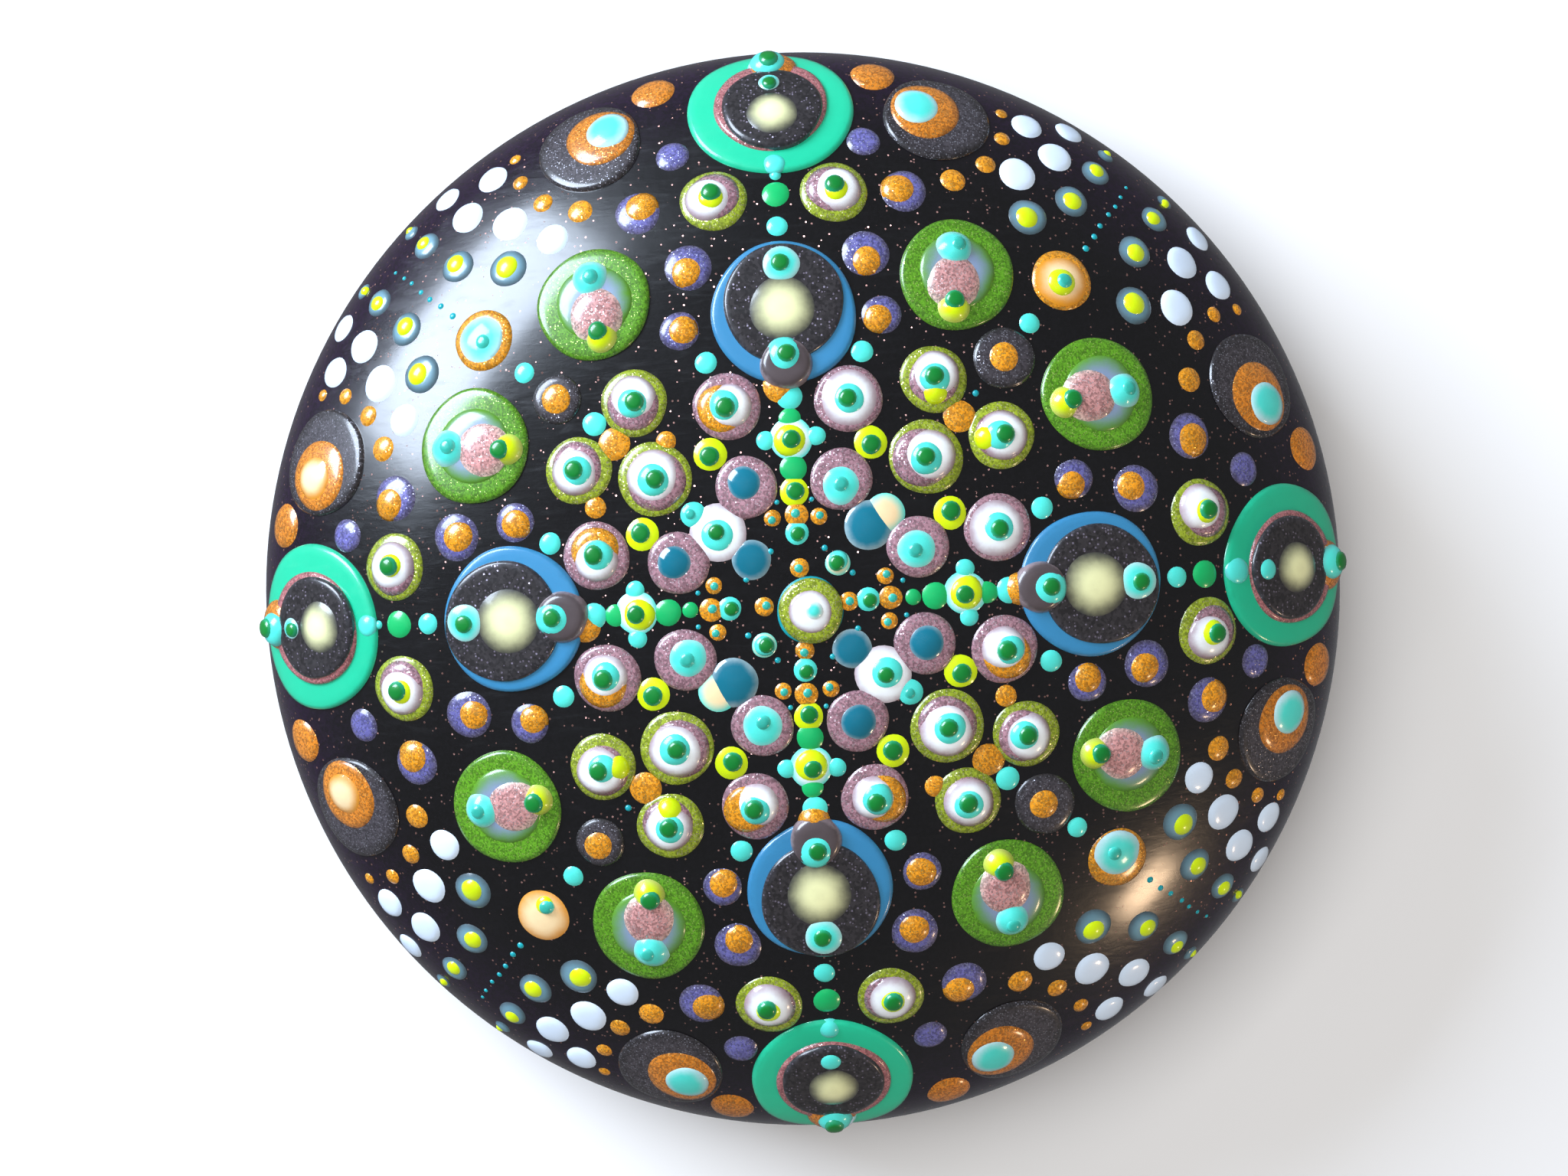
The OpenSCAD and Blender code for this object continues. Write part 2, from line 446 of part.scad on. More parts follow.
module charcoal_disc_copper_domes() { color("#c0661a") dots("charcoal_disc_copper_domes"); }
module charcoal_disc_turquoise_domes() { color("#5fe6e0") dots("charcoal_disc_turquoise_domes"); }
module charcoal_disc_cream_domes() { color("#f0dc96") dots("charcoal_disc_cream_domes"); }
module diagonal_charcoal_dots() { color("#4a4850") dots("diagonal_charcoal_dots"); }
module orange_discs() { color("#d08222") dots("orange_discs"); }
module diagonal_cream_domes() { color("#f4d8b0") dots("diagonal_cream_domes"); }
module diagonal_turquoise_domes() { color("#6fe6e0") dots("diagonal_turquoise_domes"); }
module olive_dots() { color("#8c9a2c") dots("olive_dots"); }
module mauve_dots() { color("#c09aa0") dots("mauve_dots"); }
module mauve_centres() { color("#d2b0b6") dots("mauve_centres"); }
module gold_crescents() { color("#d0923a") dots("gold_crescents"); }
module white_domes() { color("#f6f8fa") dots("white_domes"); }
module lime_crescents() { color("#d6f000") dots("lime_crescents"); }
module turquoise_centres() { color("#3fe8dc") dots("turquoise_centres"); }
module green_pips() { color("#008f20") dots("green_pips"); }
module lime_centres() { color("#d6f000") dots("lime_centres"); }
module lilac_dots() { color("#7f7fc4") dots("lilac_dots"); }
module gold_centres() { color("#d8921f") dots("gold_centres"); }
module gold_beads() { color("#d8921f") dots("gold_beads"); }
module turquoise_beads() { color("#3fe8dc") dots("turquoise_beads"); }
module turquoise_pips() { color("#38b8a0") dots("turquoise_pips"); }
module emerald_beads() { color("#12b565") dots("emerald_beads"); }
module quatrefoil_petals() { color("#3fe8dc") dots("quatrefoil_petals"); }
module quatrefoil_white_domes() { color("#e8faf8") dots("quatrefoil_white_domes"); }
module lime_dots() { color("#d6f000") dots("lime_dots"); }
module cream_dots() { color("#f0e4b4") dots("cream_dots"); }
module turquoise_domes() { color("#3fe8dc") dots("turquoise_domes"); }
module dark_teal_domes() { color("#0f7f93") dots("dark_teal_domes"); }
module slate_dots() { color("#6f93a0") dots("slate_dots"); }
module teal_trail_dots() { color("#0fa08c") dots("teal_trail_dots"); }

stone_blank();
black_ground_coat();
centre_teal_disc();
centre_olive_disc();
centre_white_dome();
centre_turquoise_top();
blue_discs();
blue_disc_graphite_lenses();
blue_disc_pearl_lenses();
blue_disc_cream_domes();
teal_discs();
teal_disc_rose_rings();
teal_disc_graphite_lenses();
teal_disc_cream_domes();
rim_copper_discs();
rim_gold_dots();
rim_pearl_dots();
rim_white_dots();
green_discs();
green_disc_lilac_lenses();
green_disc_rose_domes();
green_disc_turquoise_domes();
green_disc_lime_domes();
charcoal_discs();
charcoal_disc_copper_domes();
charcoal_disc_turquoise_domes();
charcoal_disc_cream_domes();
diagonal_charcoal_dots();
orange_discs();
diagonal_cream_domes();
diagonal_turquoise_domes();
olive_dots();
mauve_dots();
mauve_centres();
gold_crescents();
white_domes();
lime_crescents();
turquoise_centres();
green_pips();
lime_centres();
lilac_dots();
gold_centres();
gold_beads();
turquoise_beads();
turquoise_pips();
emerald_beads();
quatrefoil_petals();
quatrefoil_white_domes();
lime_dots();
cream_dots();
turquoise_domes();
dark_teal_domes();
slate_dots();
teal_trail_dots();
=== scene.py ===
"""The looks of a dot-painted mandala stone: its gloss-varnished black ground, its layered
paint dots, and the table, lamps and camera around it."""

import math

import bmesh
import bpy
import numpy as np
from bpy.props import FloatProperty, FloatVectorProperty, IntProperty, PointerProperty
from mathutils import Matrix, Vector, kdtree
from mathutils.bvhtree import BVHTree


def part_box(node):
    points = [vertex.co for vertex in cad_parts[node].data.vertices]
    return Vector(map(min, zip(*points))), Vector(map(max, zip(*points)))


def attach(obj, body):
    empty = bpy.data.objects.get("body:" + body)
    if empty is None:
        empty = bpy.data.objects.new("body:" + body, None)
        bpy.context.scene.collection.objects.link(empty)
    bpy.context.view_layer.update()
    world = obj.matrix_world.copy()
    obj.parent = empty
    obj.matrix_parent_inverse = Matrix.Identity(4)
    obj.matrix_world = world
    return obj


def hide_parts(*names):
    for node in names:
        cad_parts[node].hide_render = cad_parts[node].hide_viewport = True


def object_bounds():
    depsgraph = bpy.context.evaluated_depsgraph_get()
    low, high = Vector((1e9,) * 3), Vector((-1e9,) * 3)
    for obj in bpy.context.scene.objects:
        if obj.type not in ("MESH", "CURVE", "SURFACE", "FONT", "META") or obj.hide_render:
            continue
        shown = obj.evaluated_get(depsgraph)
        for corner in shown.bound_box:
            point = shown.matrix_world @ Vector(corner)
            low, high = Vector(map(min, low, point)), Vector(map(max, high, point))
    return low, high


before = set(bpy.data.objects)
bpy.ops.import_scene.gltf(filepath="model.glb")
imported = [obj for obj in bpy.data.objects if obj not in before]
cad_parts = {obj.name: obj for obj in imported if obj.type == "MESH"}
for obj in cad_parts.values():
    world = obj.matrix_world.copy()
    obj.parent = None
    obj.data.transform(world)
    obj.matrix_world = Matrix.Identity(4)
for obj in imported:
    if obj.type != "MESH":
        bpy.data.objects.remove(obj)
CAD_BOX = [list(corner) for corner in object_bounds()]
COAT_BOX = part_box("black_ground_coat")

bl_info = {
    "name": "Dot-painted mandala stone",
    "version": (1, 0, 0),
    "blender": (4, 5, 0),
    "location": "View3D > Sidebar > Stone",
    "description": "Builds the ground coat, paint dots, table and light of a painted stone",
    "category": "Object",
}

# Dots of one CAD node nearer than this touch, and count as one
TOUCH = 2e-5
# Vertices of one CAD dot closer than this are the same point
WELD = 2e-6
# Steps of the search for the smallest circle round a dot
CIRCLE_STEPS = 400
# Points of a dot that its heights are read from, at least
HEIGHT_POINTS = 60
# How far above the skin the ray that drapes a dot starts
DROP = 0.012


# ---- sizes and colours ----
def colour(name, hexa, description):
    """A colour property from the way a paint chart gives it."""
    parts = [int(hexa[i : i + 2], 16) / 255 for i in (0, 2, 4)]
    linear = [c / 12.92 if c < 0.04045 else ((c + 0.055) / 1.055) ** 2.4 for c in parts]
    return FloatVectorProperty(
        name=name, description=description, default=linear, size=3, subtype="COLOR", min=0, max=1
    )


def length(name, default, description):
    return FloatProperty(
        name=name, description=description, default=default, min=0, unit="LENGTH", subtype="DISTANCE"
    )


def power(name, default, description):
    return FloatProperty(name=name, description=description, default=default, min=0, unit="POWER")


class StoneSizes(bpy.types.PropertyGroup):
    rim_radius: length("Rim radius", 0.0082, "Radius of the painted rim, where the dome turns down")
    coat: length("Coat", 0.0002, "Thickness of the black ground coat")
    crown_slope: FloatProperty(
        name="Crown slope", description="Slope where the crown meets the shoulder", default=math.radians(16),
        subtype="ANGLE",
    )
    shoulder_slope: FloatProperty(
        name="Shoulder slope", description="Slope where the shoulder meets the rim", default=math.radians(44),
        subtype="ANGLE",
    )
    sink: length("Sink", 0.00012, "How far the edge of a dot is carried down into what lies below it")
    wobble: FloatProperty(
        name="Wobble", description="How far a hand-laid dot is out of round, as a share of its radius",
        default=0.022, min=0, max=0.1, subtype="FACTOR",
    )
    relief: FloatProperty(
        name="Relief", description="How much of a dot's height above the coat is left once it has dried",
        default=0.7, min=0.3, max=1.0, subtype="FACTOR",
    )
    seed: IntProperty(name="Seed", description="Which set of hand irregularities is used", default=7)


class PaintColours(bpy.types.PropertyGroup):
    ground: colour("Ground", "060507", "The black ground coat on the dome")
    ground_rim: colour("Ground at the rim", "1d0a26", "The plum tint of the ground coat at the rim")
    bare: colour("Bare stone", "b9b2a4", "The cast stone where no paint lies")
    blue: colour("Blue", "3684b2", "The blue discs on the arms")
    teal: colour("Teal", "1cc294", "The teal discs at the rim")
    deep_teal: colour("Deep teal", "12a5b0", "The disc at the centre and the finest dots")
    graphite: colour("Graphite", "2c292b", "The dark glaze over the blue and teal discs")
    pearl: colour("Pearl glaze", "c9b3b8", "The pink pearl lenses on the blue discs")
    rose: colour("Rose", "a8686a", "The rose metallic rings on the teal discs")
    lilac_pearl: colour("Lilac pearl", "8496b4", "The pearl lenses on the green discs")
    rose_pearl: colour("Rose pearl", "b98583", "The rose domes on the green discs")
    cream: colour("Cream", "f0f1b8", "The cream domes on the blue and teal discs")
    peach: colour("Peach cream", "f6d9a8", "The cream domes on the diagonals")
    white: colour("White", "f4f9fb", "The white domes of the layered dots")
    ice: colour("Ice white", "dbecff", "The white dots at the rim")
    turquoise: colour("Turquoise", "50e0d2", "The turquoise beads and centres")
    green: colour("Green", "558c1b", "The green discs")
    olive: colour("Olive", "8b9b26", "The olive glitter dots")
    mauve: colour("Mauve", "96707a", "The mauve glitter dots")
    gold: colour("Gold", "d48a18", "The gold metallic beads and centres")
    copper: colour("Copper", "c2741f", "The copper metallic discs at the rim")
    charcoal: colour("Charcoal", "3d393e", "The charcoal glitter discs")
    lilac: colour("Lilac", "5e5c96", "The lilac metallic dots")
    lime: colour("Lime", "d4ee00", "The lime centres")
    pip: colour("Pip green", "047a2c", "The green pips")
    sea: colour("Sea green", "2fae9c", "The small pips on turquoise")
    emerald: colour("Emerald", "10b262", "The emerald beads")
    dark_teal: colour("Dark teal", "0d6f86", "The glossy dark teal domes")
    slate: colour("Slate", "6b94a4", "The slate dots on the diagonals")
    table: colour("Table", "f4f4f4", "The table top")


class StageSizes(bpy.types.PropertyGroup):
    reach: length("Camera distance", 0.3, "Distance of the camera above the stone's widest line")
    field: length("Field", 0.1164, "Width that the camera takes in at the stone's widest line")
    tilt: FloatProperty(
        name="Tilt", description="How far the camera leans from straight above", default=math.radians(2.9),
        subtype="ANGLE",
    )
    turn: FloatProperty(
        name="Turn", description="How far the pattern is turned in the view", default=math.radians(3.6),
        subtype="ANGLE",
    )
    left: length("Aim left", 0.00136, "How far left of the stone's axis the camera is aimed")
    away: length("Aim away", 0.00034, "How far past the stone's axis the camera is aimed")
    lean: FloatProperty(
        name="Lean", description="How far the camera leans to the right, as a slope", default=0.009,
    )
    window: colour("Window light", "dcebff", "The colour of the large window light")
    window_power: power("Window power", 4.8, "Power of the large window light")
    warm: colour("Warm light", "ffd9b0", "The colour of the small warm lamp")
    warm_power: power("Warm power", 0.2, "Power of the small warm lamp")
    ceiling_power: power("Ceiling power", 6.3, "Power of the light that comes back from the ceiling")
    room: FloatProperty(name="Room", description="Strength of the light all round", default=0.16, min=0)


def sizes():
    return bpy.context.scene.painted_stone


def paints():
    return bpy.context.scene.stone_paints


# ---- meshes ----
def link(bm, name, slot, *replaced, smooth_to=math.radians(50)):
    """Makes a finished bmesh an object that rides with the stone and stands for CAD nodes."""
    mesh = bpy.data.meshes.new(name)
    bm.to_mesh(mesh)
    bm.free()
    mesh.shade_smooth()
    mesh.set_sharp_from_angle(angle=smooth_to)
    piece = bpy.data.objects.new(name, mesh)
    bpy.context.scene.collection.objects.link(piece)
    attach(piece, "root")
    for part in replaced:
        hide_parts(part)
    return piece


def dome_outline(steps):
    """Points of the painted outline from the top of the dome to the lower edge of the coat,
    as (distance out, height): three tangent arcs to the widest line, and a fourth under it."""
    s = sizes()
    low, high = COAT_BOX
    half, top = high[0], high[2]
    widest = top - dome_height(half, top)
    crown_c, crown_r, shoulder_c, shoulder_r, rim_c = arcs(half, top - widest, widest)
    points = []
    for centre, radius, start, end, count in (
        (crown_c, crown_r, 0, s.crown_slope, steps),
        (shoulder_c, shoulder_r, s.crown_slope, s.shoulder_slope, steps),
        (rim_c, s.rim_radius, s.shoulder_slope, math.pi / 2, steps),
    ):
        for i in range(count):
            a = start + (end - start) * i / count
            points.append((centre[0] + radius * math.sin(a), centre[1] + radius * math.cos(a)))
    under = widest + s.coat
    centre = (half - under, widest)
    last = math.acos((low[2] - widest) / under) - math.pi / 2
    for i in range(steps + 1):
        a = math.pi / 2 + last * i / steps
        points.append((centre[0] + under * math.sin(a), centre[1] + under * math.cos(a)))
    return points


def dome_height(half, top):
    """Height of the dome above its widest line, read off the CAD coat where it is widest."""
    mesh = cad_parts["black_ground_coat"].data
    heights = [v.co.z for v in mesh.vertices if math.hypot(v.co.x, v.co.y) > half - 2e-6]
    return top - (min(heights) + max(heights)) / 2


def arcs(half, rise, widest):
    """The crown and shoulder arcs that join the axis to the rim arc, all tangent."""
    s = sizes()
    reach = half - s.rim_radius * (1 - math.sin(s.shoulder_slope))
    climb = rise - s.rim_radius * math.cos(s.shoulder_slope)
    crown_run, crown_drop = math.sin(s.crown_slope), 1 - math.cos(s.crown_slope)
    shoulder_run = math.sin(s.shoulder_slope) - crown_run
    shoulder_drop = math.cos(s.crown_slope) - math.cos(s.shoulder_slope)
    spread = crown_run * shoulder_drop - shoulder_run * crown_drop
    crown_r = (reach * shoulder_drop - climb * shoulder_run) / spread
    shoulder_r = (climb * crown_run - reach * crown_drop) / spread
    crown_c = (0, widest + rise - crown_r)
    step = crown_r - shoulder_r
    shoulder_c = (step * math.sin(s.crown_slope), crown_c[1] + step * math.cos(s.crown_slope))
    return crown_c, crown_r, shoulder_c, shoulder_r, (half - s.rim_radius, widest)


def spun(outline, segments):
    """A surface of revolution about the upright axis."""
    bm = bmesh.new()
    verts = [bm.verts.new((out, 0, height)) for out, height in outline]
    edges = [bm.edges.new(pair) for pair in zip(verts, verts[1:])]
    bmesh.ops.spin(
        bm, geom=verts + edges, cent=(0, 0, 0), axis=(0, 0, 1), angle=math.tau, steps=segments,
        use_merge=True,
    )
    bmesh.ops.remove_doubles(bm, verts=bm.verts, dist=1e-7)
    bmesh.ops.recalc_face_normals(bm, faces=bm.faces)
    return bm


SKIN = {}


def skin():
    """The painted surface of the dome, to lay dots on. It is made once and kept in SKIN."""
    if "tree" not in SKIN:
        bm = spun(dome_outline(40), 360)
        SKIN["tree"] = BVHTree.FromBMesh(bm)
        bm.free()
    return SKIN["tree"]


def laid_dots(node, smallest=0.35):
    """Where the separate dots of a CAD node lie: centre on the skin, outward axis, radius, and
    the heights of rim and top above the skin. Pieces of one dot that only touch count as one."""
    bm = bmesh.new()
    bm.from_mesh(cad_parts[node].data)
    bmesh.ops.remove_doubles(bm, verts=bm.verts, dist=WELD)
    bm.verts.index_update()
    group = list(range(len(bm.verts)))

    def leader(i):
        while group[i] != i:
            group[i] = group[group[i]]
            i = group[i]
        return i

    for edge in bm.edges:
        a, b = (leader(v.index) for v in edge.verts)
        group[a] = b
    places = np.array([v.co[:] for v in bm.verts])
    bm.free()
    tree = kdtree.KDTree(len(places))
    for i, place in enumerate(places):
        tree.insert(place, i)
    tree.balance()
    for i, place in enumerate(places):
        for _, j, _ in tree.find_range(place, TOUCH):
            a, b = leader(i), leader(j)
            group[a] = b
    leaders = np.array([leader(i) for i in range(len(places))])
    found = []
    for one in np.unique(leaders):
        points = places[leaders == one]
        middle = Vector((points.min(axis=0) + points.max(axis=0)) / 2)
        _, axis, _, _ = skin().find_nearest(middle)
        side = axis.cross(Vector((0.3, 0.5, 0.8))).normalized()
        other = axis.cross(side)
        flat = np.stack([points @ np.array(side), points @ np.array(other)], axis=1)
        centre = (flat.min(axis=0) + flat.max(axis=0)) / 2
        for step in range(1, CIRCLE_STEPS):
            away = flat - centre
            far = away[np.argmax((away**2).sum(axis=1))]
            centre = centre + far / (step + 1)
        radius = float(np.sqrt(((flat - centre) ** 2).sum(axis=1).max()))
        place = Vector(side) * float(centre[0]) + Vector(other) * float(centre[1])
        place += axis * float((points @ np.array(axis)).mean())
        hit, axis, _, _ = skin().find_nearest(place)
        heights = []
        for point in points[:: max(1, len(points) // HEIGHT_POINTS)]:
            near, normal, _, _ = skin().find_nearest(Vector(point))
            heights.append((Vector(point) - near).dot(normal))
        tall = max((Vector(p) - hit).dot(axis) for p in points)
        found.append((hit, axis, radius, min(heights), max(max(heights), min(tall, max(heights) * 1.2))))
    usual = float(np.median([dot[2] for dot in found]))
    return [dot for dot in found if dot[2] > smallest * usual]


def dot_shape(segments, rings, fullness, crispness):
    """One dot of radius 1 and height 1: a round cap on a shallow skirt, closed below. fullness
    makes its top flatter, and crispness its edge steeper."""
    bm = bmesh.new()
    outline = [(0.0, 1.0)]
    for i in range(1, rings + 1):
        out = math.sin(math.pi / 2 * i / rings) if fullness > 3 else i / rings
        outline.append((out, max(0.0, 1 - out**fullness) ** crispness))
    outline += [(1.0, -0.5), (0.0, -0.5)]
    verts = [bm.verts.new((out, 0, height)) for out, height in outline]
    edges = [bm.edges.new(pair) for pair in zip(verts, verts[1:])]
    bmesh.ops.spin(
        bm, geom=verts + edges, cent=(0, 0, 0), axis=(0, 0, 1), angle=math.tau, steps=segments,
        use_merge=True,
    )
    bmesh.ops.remove_doubles(bm, verts=bm.verts, dist=1e-5)
    bmesh.ops.recalc_face_normals(bm, faces=bm.faces)
    mesh = bpy.data.meshes.new("dot_shape")
    bm.to_mesh(mesh)
    bm.free()
    return mesh


def paint_dots(node, slot, material, fullness=2.0, crispness=0.75, segments=16, rings=4, grow=1.0):
    """Lays a smooth dot of paint over each dot of a CAD node, draped on the dome."""
    s = sizes()
    shape = dot_shape(segments, rings, fullness, crispness)
    count = len(shape.vertices)
    chance = np.random.default_rng(s.seed + sum(map(ord, node)))
    bm = bmesh.new()
    rim = bm.verts.layers.float.new("rim")
    lot = bm.verts.layers.float.new("lot")
    for hit, axis, radius, low, high in laid_dots(node):
        off_axis = math.hypot(hit.x, hit.y) > 1e-4
        side = Vector((-hit.y, hit.x, 0)).normalized() if off_axis else Vector((1, 0, 0))
        side = (side - axis * side.dot(axis)).normalized()
        out = side.cross(axis)
        draw, phases = chance.random(), chance.random(3) * math.tau
        bm.from_mesh(shape)
        bm.verts.ensure_lookup_table()
        for vert in bm.verts[-count:]:
            x, y, z = vert.co
            far = math.hypot(x, y)
            angle = math.atan2(y, x)
            wide = radius * grow * (
                1 + s.wobble * (math.sin(2 * angle + phases[0]) * 0.6 + math.sin(3 * angle + phases[1]) * 0.5
                + math.sin(5 * angle + phases[2]) * 0.25)
            )
            above = hit + (out * x + side * y) * wide + axis * DROP
            place, normal, _, _ = skin().ray_cast(above, -axis)
            if place is None:
                place, normal, _, _ = skin().find_nearest(above - axis * DROP)
            if normal.dot(axis) < 0:
                normal = -normal
            if z >= 0:
                height = low - s.sink + (high - low + s.sink) * z
            else:
                height = max(low - 2 * s.sink, -s.coat / 2)
            height *= s.relief if height > 0 else 1
            vert.co = place + (normal * 0.5 + axis * 0.5).normalized() * height
            vert[rim] = far
            vert[lot] = draw
    bpy.data.meshes.remove(shape)
    piece = link(bm, "paint_" + node, slot, node, smooth_to=math.radians(60))
    piece.data.materials.append(material)
    return piece


# ---- shader node groups ----
def new_group(name, inputs, outputs):
    group = bpy.data.node_groups.new(name, "ShaderNodeTree")
    for label, kind, default in inputs:
        socket = group.interface.new_socket(label, in_out="INPUT", socket_type=kind)
        socket.default_value = default
    for label, kind in outputs:
        group.interface.new_socket(label, in_out="OUTPUT", socket_type=kind)
    nodes = group.nodes
    return group, nodes.new("NodeGroupInput"), nodes.new("NodeGroupOutput")


def node(tree, kind, links=None, **settings):
    """Adds a node, sets what is named in settings, and links or fills its inputs."""
    made = tree.nodes.new(kind)
    for key, value in settings.items():
        setattr(made, key, value)
    for key, value in (links or {}).items():
        if isinstance(value, bpy.types.NodeSocket):
            tree.links.new(value, made.inputs[key])
        else:
            made.inputs[key].default_value = value
    return made


def sums(tree, operation, a, b, c=None, clamp=False):
    made = node(tree, "ShaderNodeMath", {0: a, 1: b}, operation=operation, use_clamp=clamp)
    if c is not None:
        if isinstance(c, bpy.types.NodeSocket):
            tree.links.new(c, made.inputs[2])
        else:
            made.inputs[2].default_value = c
    return made.outputs[0]


def blend(tree, share, a, b, mode="MIX"):
    made = node(
        tree, "ShaderNodeMix", {0: share, 6: a, 7: b}, data_type="RGBA", blend_type=mode, clamp_factor=True
    )
    return made.outputs[2]


def steps(tree, value, low, high, out_low=0.0, out_high=1.0):
    made = node(
        tree, "ShaderNodeMapRange", {0: value, 1: low, 2: high, 3: out_low, 4: out_high},
        interpolation_type="SMOOTHSTEP",
    )
    return made.outputs[0]


def varnish_group():
    """Brushed gloss varnish: a height for the bump and the change of roughness that goes with it."""
    group, given, result = new_group(
        "Brushed varnish",
        [("Brush", "NodeSocketFloat", 1.0), ("Peel", "NodeSocketFloat", 1.0),
         ("Gloss", "NodeSocketFloat", 0.2)],
        [("Height", "NodeSocketFloat"), ("Roughness", "NodeSocketFloat")],
    )
    at = node(group, "ShaderNodeTexCoord").outputs["Object"]
    turned = node(group, "ShaderNodeMapping", {0: at, "Rotation": (0, 0, 0.6), "Scale": (260, 1500, 900)})
    brush = node(group, "ShaderNodeTexNoise", {"Vector": turned.outputs[0], "Scale": 1.0, "Detail": 4.0,
                                               "Roughness": 0.62, "Distortion": 0.4})
    peel = node(group, "ShaderNodeTexNoise",
                {"Vector": at, "Scale": 1250.0, "Detail": 3.0, "Roughness": 0.55})
    broad = node(group, "ShaderNodeTexNoise", {"Vector": at, "Scale": 95.0, "Detail": 2.0, "Roughness": 0.5})
    height = sums(group, "MULTIPLY", brush.outputs[0], given.outputs["Brush"])
    height = sums(group, "MULTIPLY_ADD", peel.outputs[0], given.outputs["Peel"], height)
    height = sums(group, "MULTIPLY_ADD", broad.outputs[0], 1.6, height)
    patches = steps(group, broad.outputs[0], 0.3, 0.75)
    change = sums(group, "MULTIPLY_ADD", patches, 0.1, given.outputs["Gloss"])
    streaks = steps(group, brush.outputs[0], 0.5, 0.72)
    change = sums(group, "MULTIPLY_ADD", streaks, 0.12, change, clamp=True)
    group.links.new(height, result.inputs["Height"])
    group.links.new(change, result.inputs["Roughness"])
    return group


def flake_group():
    """Glitter: small flat flakes of metal, each with its own tilt and brightness, in a paint."""
    group, given, result = new_group(
        "Glitter flakes",
        [("Paint", "NodeSocketColor", (0.5, 0.5, 0.5, 1)), ("Flake", "NodeSocketColor", (1, 1, 1, 1)),
         ("Size", "NodeSocketFloat", 0.16), ("Share", "NodeSocketFloat", 0.4),
         ("Tilt", "NodeSocketFloat", 0.5)],
        [("Color", "NodeSocketColor"), ("Mask", "NodeSocketFloat"), ("Roughness", "NodeSocketFloat"),
         ("Normal", "NodeSocketVector")],
    )
    at = node(group, "ShaderNodeTexCoord").outputs["Object"]
    scale = sums(group, "DIVIDE", 1000.0, given.outputs["Size"])
    cells = node(group, "ShaderNodeTexVoronoi", {"Vector": at, "Scale": scale, "Randomness": 1.0})
    chance = node(group, "ShaderNodeSeparateColor", {0: cells.outputs["Color"]})
    mask = sums(group, "LESS_THAN", chance.outputs[0], given.outputs["Share"])
    inner = steps(group, cells.outputs["Distance"], 0.42, 0.3)
    mask = sums(group, "MULTIPLY", mask, inner)
    light = steps(group, chance.outputs[1], 0.0, 1.0, 0.6, 1.4)
    paint = blend(group, 1.0, given.outputs["Paint"], light, "MULTIPLY")
    group.links.new(blend(group, mask, paint, given.outputs["Flake"]), result.inputs["Color"])
    group.links.new(mask, result.inputs["Mask"])
    group.links.new(steps(group, chance.outputs[2], 0.0, 1.0, 0.22, 0.5), result.inputs["Roughness"])
    tilt = node(group, "ShaderNodeVectorMath", {0: cells.outputs["Color"], 1: (0.5, 0.5, 0.5)},
                operation="SUBTRACT")
    lean = sums(group, "MULTIPLY", given.outputs["Tilt"], mask)
    tilt = node(group, "ShaderNodeVectorMath", {0: tilt.outputs[0], "Scale": lean}, operation="SCALE")
    straight = node(group, "ShaderNodeNewGeometry").outputs["Normal"]
    leaning = node(group, "ShaderNodeVectorMath", {0: straight, 1: tilt.outputs[0]}, operation="ADD")
    leaning = node(group, "ShaderNodeVectorMath", {0: leaning.outputs[0]}, operation="NORMALIZE")
    group.links.new(leaning.outputs[0], result.inputs["Normal"])
    return group


def halo_group():
    """The colour of a dot from its middle to its edge, where the paint thins and what lies
    below shows through, with a little difference from one dot to the next. On the glossy
    turquoise and dark teal domes the pale edge is a painted reflection of the room."""
    group, given, result = new_group(
        "Dot halo",
        [("Middle", "NodeSocketColor", (1, 1, 1, 1)), ("Edge", "NodeSocketColor", (0.5, 0.5, 0.5, 1)),
         ("Start", "NodeSocketFloat", 0.7), ("End", "NodeSocketFloat", 1.0),
         ("Variety", "NodeSocketFloat", 0.15), ("Mottle", "NodeSocketFloat", 0.15)],
        [("Color", "NodeSocketColor"), ("Edge share", "NodeSocketFloat")],
    )
    out = node(group, "ShaderNodeAttribute", attribute_name="rim").outputs["Fac"]
    lot = node(group, "ShaderNodeAttribute", attribute_name="lot").outputs["Fac"]
    at = node(group, "ShaderNodeTexCoord").outputs["Object"]
    cloud = node(group, "ShaderNodeTexNoise", {"Vector": at, "Scale": 900.0, "Detail": 3.0, "Roughness": 0.6})
    ragged = sums(group, "MULTIPLY_ADD", sums(group, "SUBTRACT", cloud.outputs[0], 0.5), 0.28, out)
    share = steps(group, ragged, given.outputs["Start"], given.outputs["End"])
    mixed = blend(group, share, given.outputs["Middle"], given.outputs["Edge"])
    draw, patch = sums(group, "SUBTRACT", lot, 0.5), sums(group, "SUBTRACT", cloud.outputs[0], 0.5)
    value = sums(group, "MULTIPLY_ADD", draw, given.outputs["Variety"], 1.0)
    value = sums(group, "MULTIPLY_ADD", patch, given.outputs["Mottle"], value)
    shifted = node(group, "ShaderNodeHueSaturation", {"Value": value, "Color": mixed})
    group.links.new(shifted.outputs[0], result.inputs["Color"])
    group.links.new(share, result.inputs["Edge share"])
    return group


def shared_group(name, maker):
    return bpy.data.node_groups.get(name) or maker()


def placed(tree, group, links):
    made = tree.nodes.new("ShaderNodeGroup")
    made.node_tree = group
    for key, value in links.items():
        if isinstance(value, bpy.types.NodeSocket):
            tree.links.new(value, made.inputs[key])
        else:
            made.inputs[key].default_value = value
    return made


def new_material(name):
    material = bpy.data.materials.new(name)
    material.use_nodes = True
    return material, material.node_tree, material.node_tree.nodes["Principled BSDF"]


def four(rgb, share=1.0):
    return (rgb[0] * share, rgb[1] * share, rgb[2] * share, 1.0)


